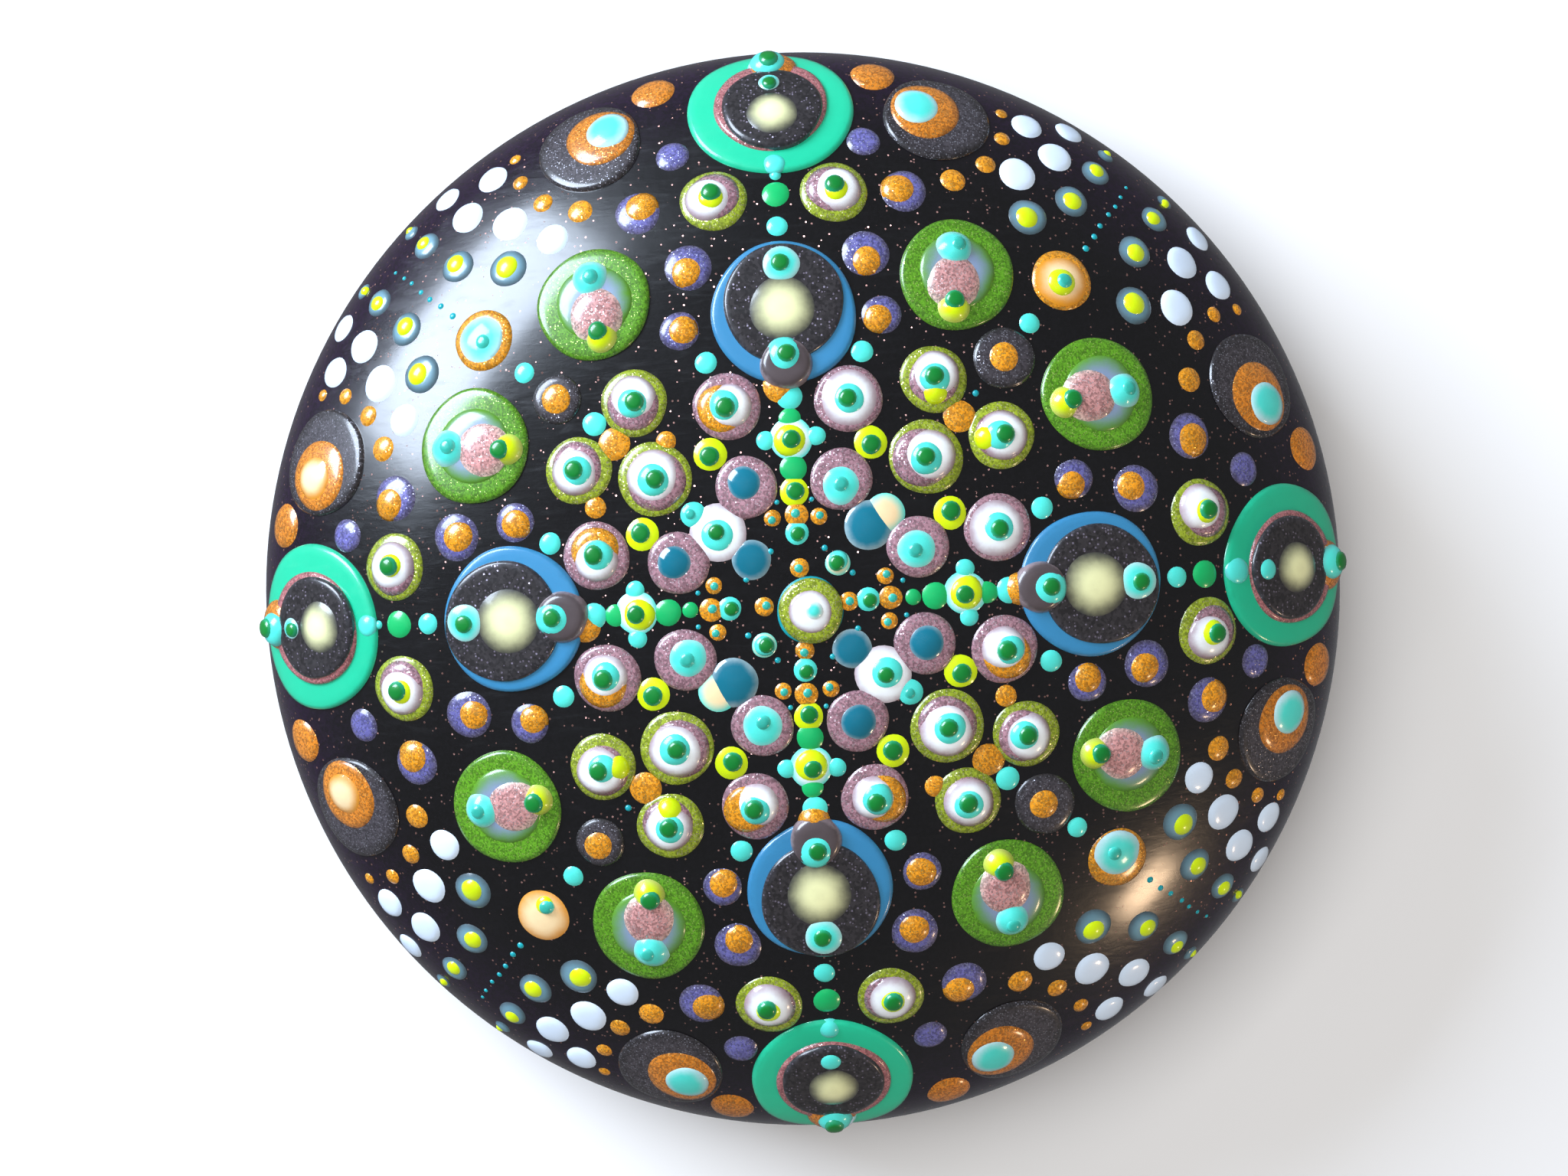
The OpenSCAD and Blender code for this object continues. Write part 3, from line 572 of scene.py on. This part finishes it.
def varnished(tree, shader, coat=0.9, coat_roughness=0.13, brush=1.0, peel=1.0, gloss=0.3, depth=0.00002,
              flakes=None):
    """Finishes a paint with varnish: bump, roughness and a clear coat."""
    varnish = placed(tree, shared_group("Brushed varnish", varnish_group),
                     {"Brush": brush, "Peel": peel, "Gloss": gloss})
    bump = node(tree, "ShaderNodeBump",
                {"Height": varnish.outputs["Height"], "Strength": 0.5, "Distance": depth})
    if flakes:
        tree.links.new(flakes.outputs["Normal"], bump.inputs["Normal"])
        rough = node(tree, "ShaderNodeMix", {0: flakes.outputs["Mask"], 2: varnish.outputs["Roughness"],
                                             3: flakes.outputs["Roughness"]}, data_type="FLOAT").outputs[0]
    else:
        rough = varnish.outputs["Roughness"]
    tree.links.new(rough, shader.inputs["Roughness"])
    tree.links.new(bump.outputs[0], shader.inputs["Normal"])
    shader.inputs["Coat Weight"].default_value = coat
    shader.inputs["Coat Roughness"].default_value = coat_roughness
    shader.inputs["Coat IOR"].default_value = 1.5


def edge_of(paint, edge):
    """The colour at a dot's edge: the one given, or else a darker shade of the paint."""
    return four(paint, 0.8) if edge is None else four(edge)


def acrylic(name, middle, edge=None, start=0.72, end=1.05, mottle=0.16, **varnish):
    """Opaque acrylic, with a thinner edge that lets what is below show; on the glossy turquoise and dark teal
    domes the pale edge is a painted reflection.
    """
    # The frame brings plain materials that have some of these names.
    name = "laid_" + name
    if name in bpy.data.materials:
        return bpy.data.materials[name]
    material, tree, shader = new_material(name)
    halo = placed(tree, shared_group("Dot halo", halo_group), {
        "Middle": four(middle), "Edge": edge_of(middle, edge), "Start": start, "End": end, "Variety": 0.14,
        "Mottle": mottle})
    tree.links.new(halo.outputs["Color"], shader.inputs["Base Color"])
    varnished(tree, shader, **varnish)
    return material


def glitter(name, paint, flake, size=0.16, share=0.4, tilt=0.5, metal=0.85, edge=None, start=0.75, end=1.05,
            **varnish):
    """Acrylic full of metal flakes."""
    name = "laid_" + name
    if name in bpy.data.materials:
        return bpy.data.materials[name]
    material, tree, shader = new_material(name)
    halo = placed(tree, shared_group("Dot halo", halo_group), {
        "Middle": four(paint), "Edge": edge_of(paint, edge), "Start": start, "End": end, "Variety": 0.16,
        "Mottle": 0.2})
    flakes = placed(tree, shared_group("Glitter flakes", flake_group), {
        "Paint": halo.outputs["Color"], "Flake": four(flake), "Size": size, "Share": share, "Tilt": tilt})
    tree.links.new(flakes.outputs["Color"], shader.inputs["Base Color"])
    tree.links.new(sums(tree, "MULTIPLY", flakes.outputs["Mask"], metal), shader.inputs["Metallic"])
    varnished(tree, shader, flakes=flakes, **varnish)
    return material


def ground_material():
    material, tree, shader = new_material("black_ground")
    p = paints()
    at = node(tree, "ShaderNodeTexCoord").outputs["Object"]
    height = node(tree, "ShaderNodeSeparateXYZ", {0: at}).outputs["Z"]
    low = steps(tree, height, 0.021, 0.012)
    flakes = placed(tree, shared_group("Glitter flakes", flake_group), {
        "Paint": blend(tree, low, four(p.ground), four(p.ground_rim)), "Flake": (0.5, 0.26, 0.22, 1),
        "Size": 0.2, "Share": 0.05, "Tilt": 0.7})
    tree.links.new(flakes.outputs["Color"], shader.inputs["Base Color"])
    tree.links.new(sums(tree, "MULTIPLY", flakes.outputs["Mask"], 0.9), shader.inputs["Metallic"])
    varnished(tree, shader, coat=1.0, coat_roughness=0.16, brush=1.3, peel=0.7, gloss=0.26, depth=0.00003,
              flakes=flakes)
    return material


def bare_material():
    material, tree, shader = new_material("cast_stone")
    at = node(tree, "ShaderNodeTexCoord").outputs["Object"]
    grain = node(tree, "ShaderNodeTexNoise", {"Vector": at, "Scale": 1800.0, "Detail": 5.0, "Roughness": 0.7})
    cloud = node(tree, "ShaderNodeTexNoise", {"Vector": at, "Scale": 120.0, "Detail": 3.0})
    pits = node(tree, "ShaderNodeTexVoronoi", {"Vector": at, "Scale": 700.0})
    pit = steps(tree, pits.outputs["Distance"], 0.16, 0.05)
    bare = paints().bare
    base = blend(tree, steps(tree, cloud.outputs[0], 0.35, 0.65), four(bare), four(bare, 0.78))
    # Painted shade: the pits are darkened in colour, besides being sunk by the bump below.
    base = blend(tree, sums(tree, "MULTIPLY", pit, 0.5), base, (0.2, 0.18, 0.15, 1))
    tree.links.new(base, shader.inputs["Base Color"])
    rough = steps(tree, grain.outputs[0], 0.3, 0.7, 0.75, 0.95)
    tree.links.new(rough, shader.inputs["Roughness"])
    height = sums(tree, "SUBTRACT", grain.outputs[0], pit)
    bump = node(tree, "ShaderNodeBump", {"Height": height, "Strength": 0.6, "Distance": 0.00006})
    tree.links.new(bump.outputs[0], shader.inputs["Normal"])
    return material


# ---- one operator for each group of pieces ----
class STONE_OT_ground(bpy.types.Operator):
    """Lay the black ground coat over the cast stone, and give both their finish"""

    bl_idname = "stone.ground"
    bl_label = "Stone and ground coat"

    def execute(self, context):
        outline = dome_outline(18)
        edge = outline[-1]
        tuck = sizes().coat
        bm = spun([*outline, (edge[0] - tuck * 0.9, edge[1] + tuck * 0.4)], 192)
        piece = link(bm, "ground_coat", "black_ground", "black_ground_coat", smooth_to=math.radians(40))
        solid = piece.modifiers.new("thickness", "SOLIDIFY")
        solid.thickness = tuck * 0.75
        solid.offset = -1
        piece.data.materials.append(ground_material())
        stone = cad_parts["stone_blank"]
        for item in stone.material_slots:
            item.material = bare_material()
        return {"FINISHED"}


class STONE_OT_centre(bpy.types.Operator):
    """Lay the stack of dots at the centre"""

    bl_idname = "stone.centre"
    bl_label = "Centre"

    def execute(self, context):
        p = paints()
        paint_dots(
            "centre_teal_disc", "deep_teal", acrylic("deep_teal_disc", p.deep_teal),
            fullness=8, crispness=0.4, segments=40, rings=6,
        )
        paint_dots(
            "centre_olive_disc", "olive_glitter", olive_paint(),
            fullness=6, crispness=0.45, segments=40, rings=6,
        )
        paint_dots(
            "centre_white_dome", "white",
            acrylic("white_soft", p.white, edge=p.mauve, start=0.62, end=1.02),
            fullness=2, crispness=0.75, segments=32, rings=6,
        )
        paint_dots(
            "centre_turquoise_top", "turquoise",
            acrylic("turquoise_soft", p.turquoise, edge=p.white, start=0.35, end=1.0),
            fullness=2, crispness=0.8, segments=28, rings=6,
        )
        return {"FINISHED"}


def olive_paint():
    p = paints()
    return glitter("olive_glitter", p.olive, (0.8, 0.78, 0.35), size=0.14, share=0.5, tilt=0.55)


def mauve_paint():
    p = paints()
    return glitter("mauve_glitter", p.mauve, (0.78, 0.62, 0.66), size=0.14, share=0.42, tilt=0.55)


def gold_paint():
    p = paints()
    return glitter("gold_metallic", p.gold, (1.0, 0.66, 0.16), size=0.13, share=0.5, tilt=0.5, metal=0.9)


def copper_paint():
    p = paints()
    return glitter("copper_metallic", p.copper, (0.95, 0.5, 0.14), size=0.13, share=0.45, tilt=0.5, metal=0.9)


def turquoise_paint():
    p = paints()
    return acrylic("turquoise", p.turquoise, edge=(0.12, 0.5, 0.47), start=0.78, end=1.1)


def turquoise_dome_paint():
    # The pale edge of these domes is a painted sheen, the room reflected at their steep sides.
    return acrylic("turquoise_dome", paints().turquoise, edge=(0.5, 0.72, 0.76), start=0.5, end=1.05)


def lime_paint():
    return acrylic("lime", paints().lime, edge=(0.42, 0.5, 0.02), start=0.85, end=1.1)


def peach_paint():
    p = paints()
    return acrylic("peach_glow", p.peach, edge=p.gold, start=0.4, end=1.0)


def pip_paint():
    return acrylic("deep_green", paints().pip, edge=(0.02, 0.38, 0.2), start=0.6, end=1.1)


def graphite_paint():
    p = paints()
    return glitter("graphite_glaze", p.graphite, (0.2, 0.17, 0.22), size=0.2, share=0.22, tilt=0.5, metal=0.5,
                   edge=(0.035, 0.033, 0.04), start=0.85, end=1.05)


def cream_paint():
    p = paints()
    return acrylic("cream_glow", p.cream, edge=(0.03, 0.03, 0.032), start=0.2, end=0.97, mottle=0.25)


class STONE_OT_blue_discs(bpy.types.Operator):
    """Lay the blue discs on the arms and what lies on them"""

    bl_idname = "stone.blue_discs"
    bl_label = "Blue discs"

    def execute(self, context):
        p = paints()
        paint_dots(
            "blue_discs", "sky_blue", acrylic("sky_blue", p.blue, start=0.9, mottle=0.1),
            fullness=40, crispness=0.35, segments=72, rings=9,
        )
        paint_dots(
            "blue_disc_graphite_lenses", "graphite_glaze", graphite_paint(),
            fullness=40, crispness=0.35, segments=72, rings=9,
        )
        paint_dots(
            "blue_disc_pearl_lenses", "pearl_glaze",
            acrylic("pearl_glaze", [c * 0.14 for c in p.pearl], edge=[c * 0.55 for c in p.pearl],
                start=0.8, end=1.05, mottle=0.35),
            fullness=8, crispness=0.5, segments=40, rings=6,
        )
        paint_dots(
            "blue_disc_cream_domes", "cream", cream_paint(),
            fullness=2, crispness=1.0, segments=36, rings=7, grow=1.3,
        )
        return {"FINISHED"}


class STONE_OT_teal_discs(bpy.types.Operator):
    """Lay the teal discs at the rim and what lies on them"""

    bl_idname = "stone.teal_discs"
    bl_label = "Teal discs"

    def execute(self, context):
        p = paints()
        paint_dots(
            "teal_discs", "teal", acrylic("teal", p.teal, start=0.92, mottle=0.1),
            fullness=40, crispness=0.35, segments=80, rings=9,
        )
        paint_dots(
            "teal_disc_rose_rings", "rose_metallic",
            glitter("rose_metallic", p.rose, (0.85, 0.55, 0.5), size=0.12, share=0.45),
            fullness=40, crispness=0.35, segments=72, rings=9,
        )
        paint_dots(
            "teal_disc_graphite_lenses", "graphite_glaze", graphite_paint(),
            fullness=40, crispness=0.35, segments=72, rings=9,
        )
        paint_dots(
            "teal_disc_cream_domes", "cream", cream_paint(),
            fullness=2, crispness=1.0, segments=32, rings=7, grow=1.15,
        )
        paint_dots(
            "rim_copper_discs", "copper_metallic", copper_paint(),
            fullness=4, crispness=0.6, segments=32, rings=6,
        )
        paint_dots(
            "rim_pearl_dots", "ice_white",
            acrylic("ice_white_pearl", p.ice, edge=p.turquoise, start=0.5, end=1.05),
            fullness=2, crispness=0.75, segments=28, rings=5,
        )
        paint_dots(
            "rim_gold_dots", "copper_metallic", copper_paint(),
            fullness=3, crispness=0.6, segments=28, rings=5,
        )
        paint_dots(
            "rim_white_dots", "ice_white", acrylic("ice_white", p.ice, start=0.9, mottle=0.08),
            fullness=3, crispness=0.6, segments=24, rings=5,
        )
        return {"FINISHED"}


class STONE_OT_green_discs(bpy.types.Operator):
    """Lay the green discs and the domes that walk across them"""

    bl_idname = "stone.green_discs"
    bl_label = "Green discs"

    def execute(self, context):
        p = paints()
        paint_dots(
            "green_discs", "green_metallic",
            glitter("green_metallic", p.green, (0.45, 0.6, 0.15), size=0.11, share=0.16, tilt=0.35,
                metal=0.6),
            fullness=30, crispness=0.36, segments=64, rings=8,
        )
        paint_dots(
            "green_disc_lilac_lenses", "lilac_pearl",
            acrylic("lilac_pearl", p.lilac_pearl, edge=p.green, start=0.45, end=1.02, mottle=0.25),
            fullness=5, crispness=0.55, segments=48, rings=7,
        )
        paint_dots(
            "green_disc_rose_domes", "rose_pearl",
            glitter("rose_pearl", p.rose_pearl, (0.9, 0.72, 0.72), size=0.14, share=0.4, tilt=0.5,
                edge=(0.62, 0.5, 0.42), start=0.5, end=1.0),
            fullness=3, crispness=0.65, segments=40, rings=6,
        )
        paint_dots(
            "green_disc_turquoise_domes", "turquoise", turquoise_dome_paint(),
            fullness=2, crispness=0.75, segments=36, rings=6,
        )
        paint_dots(
            "green_disc_lime_domes", "lime",
            acrylic("lime_dome", p.lime, edge=(0.5, 0.55, 0.16), start=0.45, end=1.05),
            fullness=2, crispness=0.75, segments=32, rings=6,
        )
        return {"FINISHED"}


class STONE_OT_charcoal_discs(bpy.types.Operator):
    """Lay the charcoal discs near the rim and the copper and turquoise on them"""

    bl_idname = "stone.charcoal_discs"
    bl_label = "Charcoal discs"

    def execute(self, context):
        p = paints()
        charcoal = glitter("charcoal_glitter", p.charcoal, (0.3, 0.29, 0.33), size=0.13, share=0.35, tilt=0.6,
                           metal=0.7, edge=p.graphite, start=0.7, end=1.0)
        paint_dots(
            "charcoal_discs", "charcoal_glitter", charcoal,
            fullness=30, crispness=0.36, segments=64, rings=8,
        )
        paint_dots(
            "charcoal_disc_copper_domes", "copper_metallic", copper_paint(),
            fullness=4, crispness=0.6, segments=48, rings=7,
        )
        paint_dots(
            "charcoal_disc_turquoise_domes", "turquoise", turquoise_dome_paint(),
            fullness=2, crispness=0.75, segments=32, rings=6,
        )
        paint_dots(
            "charcoal_disc_cream_domes", "peach_cream", peach_paint(),
            fullness=2, crispness=0.8, segments=32, rings=6,
        )
        paint_dots(
            "diagonal_charcoal_dots", "charcoal_glitter", charcoal,
            fullness=5, crispness=0.5, segments=40, rings=6,
        )
        return {"FINISHED"}


class STONE_OT_diagonals(bpy.types.Operator):
    """Lay the orange discs on the diagonals and the slate dots beside them"""

    bl_idname = "stone.diagonals"
    bl_label = "Diagonals"

    def execute(self, context):
        p = paints()
        paint_dots(
            "orange_discs", "gold_metallic", gold_paint(),
            fullness=5, crispness=0.5, segments=40, rings=6,
        )
        paint_dots(
            "diagonal_cream_domes", "peach_cream", peach_paint(),
            fullness=2, crispness=0.8, segments=36, rings=6,
        )
        paint_dots(
            "diagonal_turquoise_domes", "turquoise", turquoise_dome_paint(),
            fullness=2, crispness=0.75, segments=32, rings=6,
        )
        paint_dots(
            "slate_dots", "slate_blue",
            acrylic("slate_blue", p.slate, edge=(0.045, 0.06, 0.07), start=0.45, end=1.04, mottle=0.3),
            fullness=2.4, crispness=0.7, segments=24, rings=5, grow=1.05,
        )
        paint_dots(
            "teal_trail_dots", "deep_teal", acrylic("deep_teal_dot", p.deep_teal),
            fullness=2, crispness=0.75, segments=12, rings=3, grow=1.1,
        )
        paint_dots(
            "cream_dots", "peach_cream",
            acrylic("peach_soft", p.peach, edge=p.turquoise, start=0.4, end=1.0),
            fullness=2, crispness=0.75, segments=28, rings=5,
        )
        return {"FINISHED"}


class STONE_OT_layered_dots(bpy.types.Operator):
    """Lay the layered dots: olive and mauve, then white, then turquoise or lime, then a green pip"""

    bl_idname = "stone.layered_dots"
    bl_label = "Layered dots"

    def execute(self, context):
        p = paints()
        paint_dots(
            "olive_dots", "olive_glitter", olive_paint(),
            fullness=5, crispness=0.5, segments=36, rings=6,
        )
        paint_dots(
            "mauve_dots", "mauve_glitter", mauve_paint(),
            fullness=5, crispness=0.5, segments=36, rings=6, grow=1.07,
        )
        paint_dots(
            "mauve_centres", "mauve_glitter", mauve_paint(),
            fullness=3, crispness=0.65, segments=32, rings=5,
        )
        paint_dots(
            "gold_crescents", "gold_metallic", gold_paint(),
            fullness=3, crispness=0.65, segments=28, rings=5,
        )
        paint_dots(
            "lime_crescents", "lime", lime_paint(),
            fullness=2, crispness=0.75, segments=24, rings=5,
        )
        paint_dots(
            "white_domes", "white",
            acrylic("white_halo", p.white, edge=(0.4, 0.29, 0.33), start=0.58, end=1.02, mottle=0.12),
            fullness=2.2, crispness=0.7, segments=28, rings=6, grow=1.28,
        )
        paint_dots(
            "turquoise_centres", "turquoise", turquoise_paint(),
            fullness=2, crispness=0.7, segments=24, rings=5, grow=1.2,
        )
        paint_dots(
            "lime_centres", "lime", lime_paint(),
            fullness=2, crispness=0.7, segments=20, rings=4, grow=1.18,
        )
        paint_dots(
            "green_pips", "deep_green", pip_paint(),
            fullness=4, crispness=0.5, segments=14, rings=3, grow=1.45,
        )
        return {"FINISHED"}


class STONE_OT_beads(bpy.types.Operator):
    """Lay the single beads, quatrefoils and glossy domes"""

    bl_idname = "stone.beads"
    bl_label = "Beads"

    def execute(self, context):
        p = paints()
        paint_dots(
            "lilac_dots", "lilac_metallic",
            glitter("lilac_metallic", p.lilac, (0.45, 0.45, 0.66), size=0.14, share=0.38, tilt=0.55,
                edge=(0.07, 0.06, 0.1), start=0.5, end=1.03),
            fullness=2.6, crispness=0.65, segments=28, rings=5, grow=1.06,
        )
        paint_dots(
            "gold_centres", "gold_metallic", gold_paint(),
            fullness=2, crispness=0.75, segments=20, rings=4, grow=1.35,
        )
        paint_dots(
            "gold_beads", "gold_metallic", gold_paint(),
            fullness=2, crispness=0.75, segments=18, rings=4, grow=1.14,
        )
        paint_dots(
            "turquoise_beads", "turquoise", turquoise_paint(),
            fullness=2, crispness=0.7, segments=20, rings=4, grow=1.14,
        )
        paint_dots(
            "turquoise_pips", "sea_green",
            acrylic("sea_green", p.sea, edge=p.turquoise, start=0.5, end=1.1),
            fullness=3, crispness=0.5, segments=14, rings=3, grow=1.3,
        )
        paint_dots(
            "emerald_beads", "emerald",
            acrylic("emerald", p.emerald, edge=(0.01, 0.2, 0.09), start=0.8, end=1.1),
            fullness=2, crispness=0.7, segments=20, rings=4, grow=1.22,
        )
        paint_dots(
            "quatrefoil_petals", "turquoise", turquoise_paint(),
            fullness=2, crispness=0.7, segments=24, rings=4,
        )
        paint_dots(
            "quatrefoil_white_domes", "white",
            acrylic("white_turquoise", p.white, edge=p.turquoise, start=0.45, end=0.98),
            fullness=2, crispness=0.75, segments=32, rings=6,
        )
        paint_dots(
            "lime_dots", "lime", lime_paint(),
            fullness=2, crispness=0.7, segments=22, rings=4, grow=1.25,
        )
        # The pale edge of these turquoise domes is a painted sheen, the room reflected at their steep sides.
        paint_dots(
            "turquoise_domes", "turquoise",
            acrylic("turquoise_painted_sheen", p.turquoise, edge=(0.42, 0.66, 0.66), start=0.5, end=1.03),
            fullness=2, crispness=0.75, segments=32, rings=6,
        )
        # The pale blue-grey edge of the dark teal domes is a painted reflection of the room on their gloss.
        paint_dots(
            "dark_teal_domes", "dark_teal_gloss",
            acrylic("dark_teal_gloss", p.dark_teal, edge=(0.3, 0.42, 0.46), start=0.6, end=1.03, coat=1.0,
                coat_roughness=0.04, gloss=0.12, brush=0.2, peel=0.2),
            fullness=2, crispness=0.75, segments=36, rings=7,
        )
        return {"FINISHED"}


class STONE_OT_stage(bpy.types.Operator):
    """Set the table, the window light, the warm lamp and the camera"""

    bl_idname = "stone.stage"
    bl_label = "Table, light and camera"

    def execute(self, context):
        scene, sight = context.scene, context.scene.stone_stage
        bm = bmesh.new()
        bmesh.ops.create_grid(bm, x_segments=2, y_segments=2, size=2.0)
        mesh = bpy.data.meshes.new("table")
        bm.to_mesh(mesh)
        bm.free()
        table = bpy.data.objects.new("table", mesh)
        scene.collection.objects.link(table)
        material, tree, shader = new_material("table_top")
        at = node(tree, "ShaderNodeTexCoord").outputs["Object"]
        cloud = node(tree, "ShaderNodeTexNoise", {"Vector": at, "Scale": 9.0, "Detail": 2.0})
        top = paints().table
        mottled = blend(tree, cloud.outputs[0], four(top), four(top, 0.97))
        tree.links.new(mottled, shader.inputs["Base Color"])
        shader.inputs["Roughness"].default_value = 0.7
        shader.inputs["Specular IOR Level"].default_value = 0.2
        mesh.materials.append(material)
        table.visible_glossy = False

        widest = CAD_BOX[1][2] - dome_height(COAT_BOX[1][0], COAT_BOX[1][2])
        up = Vector((math.sin(sight.turn), math.cos(sight.turn), 0))
        right = Vector((up.y, -up.x, 0))
        aim = Vector((0, 0, widest)) - right * sight.left + up * sight.away
        back = up * math.sin(sight.tilt) + Vector((0, 0, 1)) * math.cos(sight.tilt) + right * sight.lean
        back.normalize()
        camera = bpy.data.objects.new("camera", bpy.data.cameras.new("camera"))
        scene.collection.objects.link(camera)
        camera.data.sensor_width = 36
        camera.data.lens = camera.data.sensor_width * sight.reach / sight.field
        camera.data.clip_start = 0.01
        camera.location = aim + back * sight.reach
        z = back
        x = right - z * right.dot(z)
        x.normalize()
        y = z.cross(x)
        camera.rotation_euler = Matrix((x, y, z)).transposed().to_euler()
        scene.camera = camera

        lamp(scene, "window", (-0.36, 0.3, 0.24), (0.34, 0.26), sight.window_power, sight.window,
             (0, 0, 0.015))
        lamp(scene, "warm", (0.26, -0.27, 0.12), (0.05, 0.05), sight.warm_power, sight.warm,
             (0.02, -0.02, 0.02))
        # The ceiling only brightens; the varnish doesn't mirror it.
        ceiling = lamp(scene, "ceiling", (-0.15, 0.15, 0.9), (0.7, 0.7), sight.ceiling_power, (1, 1, 1),
                       (0, 0, 0))
        ceiling.visible_glossy = False
        world = bpy.data.worlds.new("room")
        world.use_nodes = True
        world.node_tree.nodes["Background"].inputs[0].default_value = (0.93, 0.95, 1.0, 1)
        world.node_tree.nodes["Background"].inputs[1].default_value = sight.room
        scene.world = world
        scene.view_settings.view_transform = "Standard"
        return {"FINISHED"}


def lamp(scene, name, place, size, watts, tint, target):
    """A rectangular light of this size at a place, turned to a target."""
    light = bpy.data.lights.new(name, "AREA")
    light.shape = "RECTANGLE"
    light.size, light.size_y = size
    light.energy = watts
    light.color = tint
    thing = bpy.data.objects.new(name, light)
    thing.location = place
    thing.rotation_euler = (Vector(place) - Vector(target)).to_track_quat("Z", "Y").to_euler()
    scene.collection.objects.link(thing)
    return thing


OPERATORS = (
    STONE_OT_ground,
    STONE_OT_centre,
    STONE_OT_blue_discs,
    STONE_OT_teal_discs,
    STONE_OT_green_discs,
    STONE_OT_charcoal_discs,
    STONE_OT_diagonals,
    STONE_OT_layered_dots,
    STONE_OT_beads,
    STONE_OT_stage,
)


class STONE_PT_panel(bpy.types.Panel):
    bl_label = "Painted stone"
    bl_idname = "STONE_PT_panel"
    bl_space_type = "VIEW_3D"
    bl_region_type = "UI"
    bl_category = "Stone"

    def draw(self, context):
        for operator in OPERATORS:
            self.layout.operator(operator.bl_idname)
        for group in (context.scene.painted_stone, context.scene.stone_paints, context.scene.stone_stage):
            box = self.layout.box()
            for name in group.bl_rna.properties.keys():
                if name not in ("rna_type", "name"):
                    box.prop(group, name)


CLASSES = (StoneSizes, PaintColours, StageSizes, *OPERATORS, STONE_PT_panel)


def register():
    for item in CLASSES:
        bpy.utils.register_class(item)
    bpy.types.Scene.painted_stone = PointerProperty(type=StoneSizes)
    bpy.types.Scene.stone_paints = PointerProperty(type=PaintColours)
    bpy.types.Scene.stone_stage = PointerProperty(type=StageSizes)


def unregister():
    del bpy.types.Scene.stone_stage
    del bpy.types.Scene.stone_paints
    del bpy.types.Scene.painted_stone
    for item in reversed(CLASSES):
        bpy.utils.unregister_class(item)


def main():
    register()
    bpy.ops.stone.ground()
    bpy.ops.stone.centre()
    bpy.ops.stone.blue_discs()
    bpy.ops.stone.teal_discs()
    bpy.ops.stone.green_discs()
    bpy.ops.stone.charcoal_discs()
    bpy.ops.stone.diagonals()
    bpy.ops.stone.layered_dots()
    bpy.ops.stone.beads()
    bpy.ops.stone.stage()


if __name__ == "__main__":
    main()
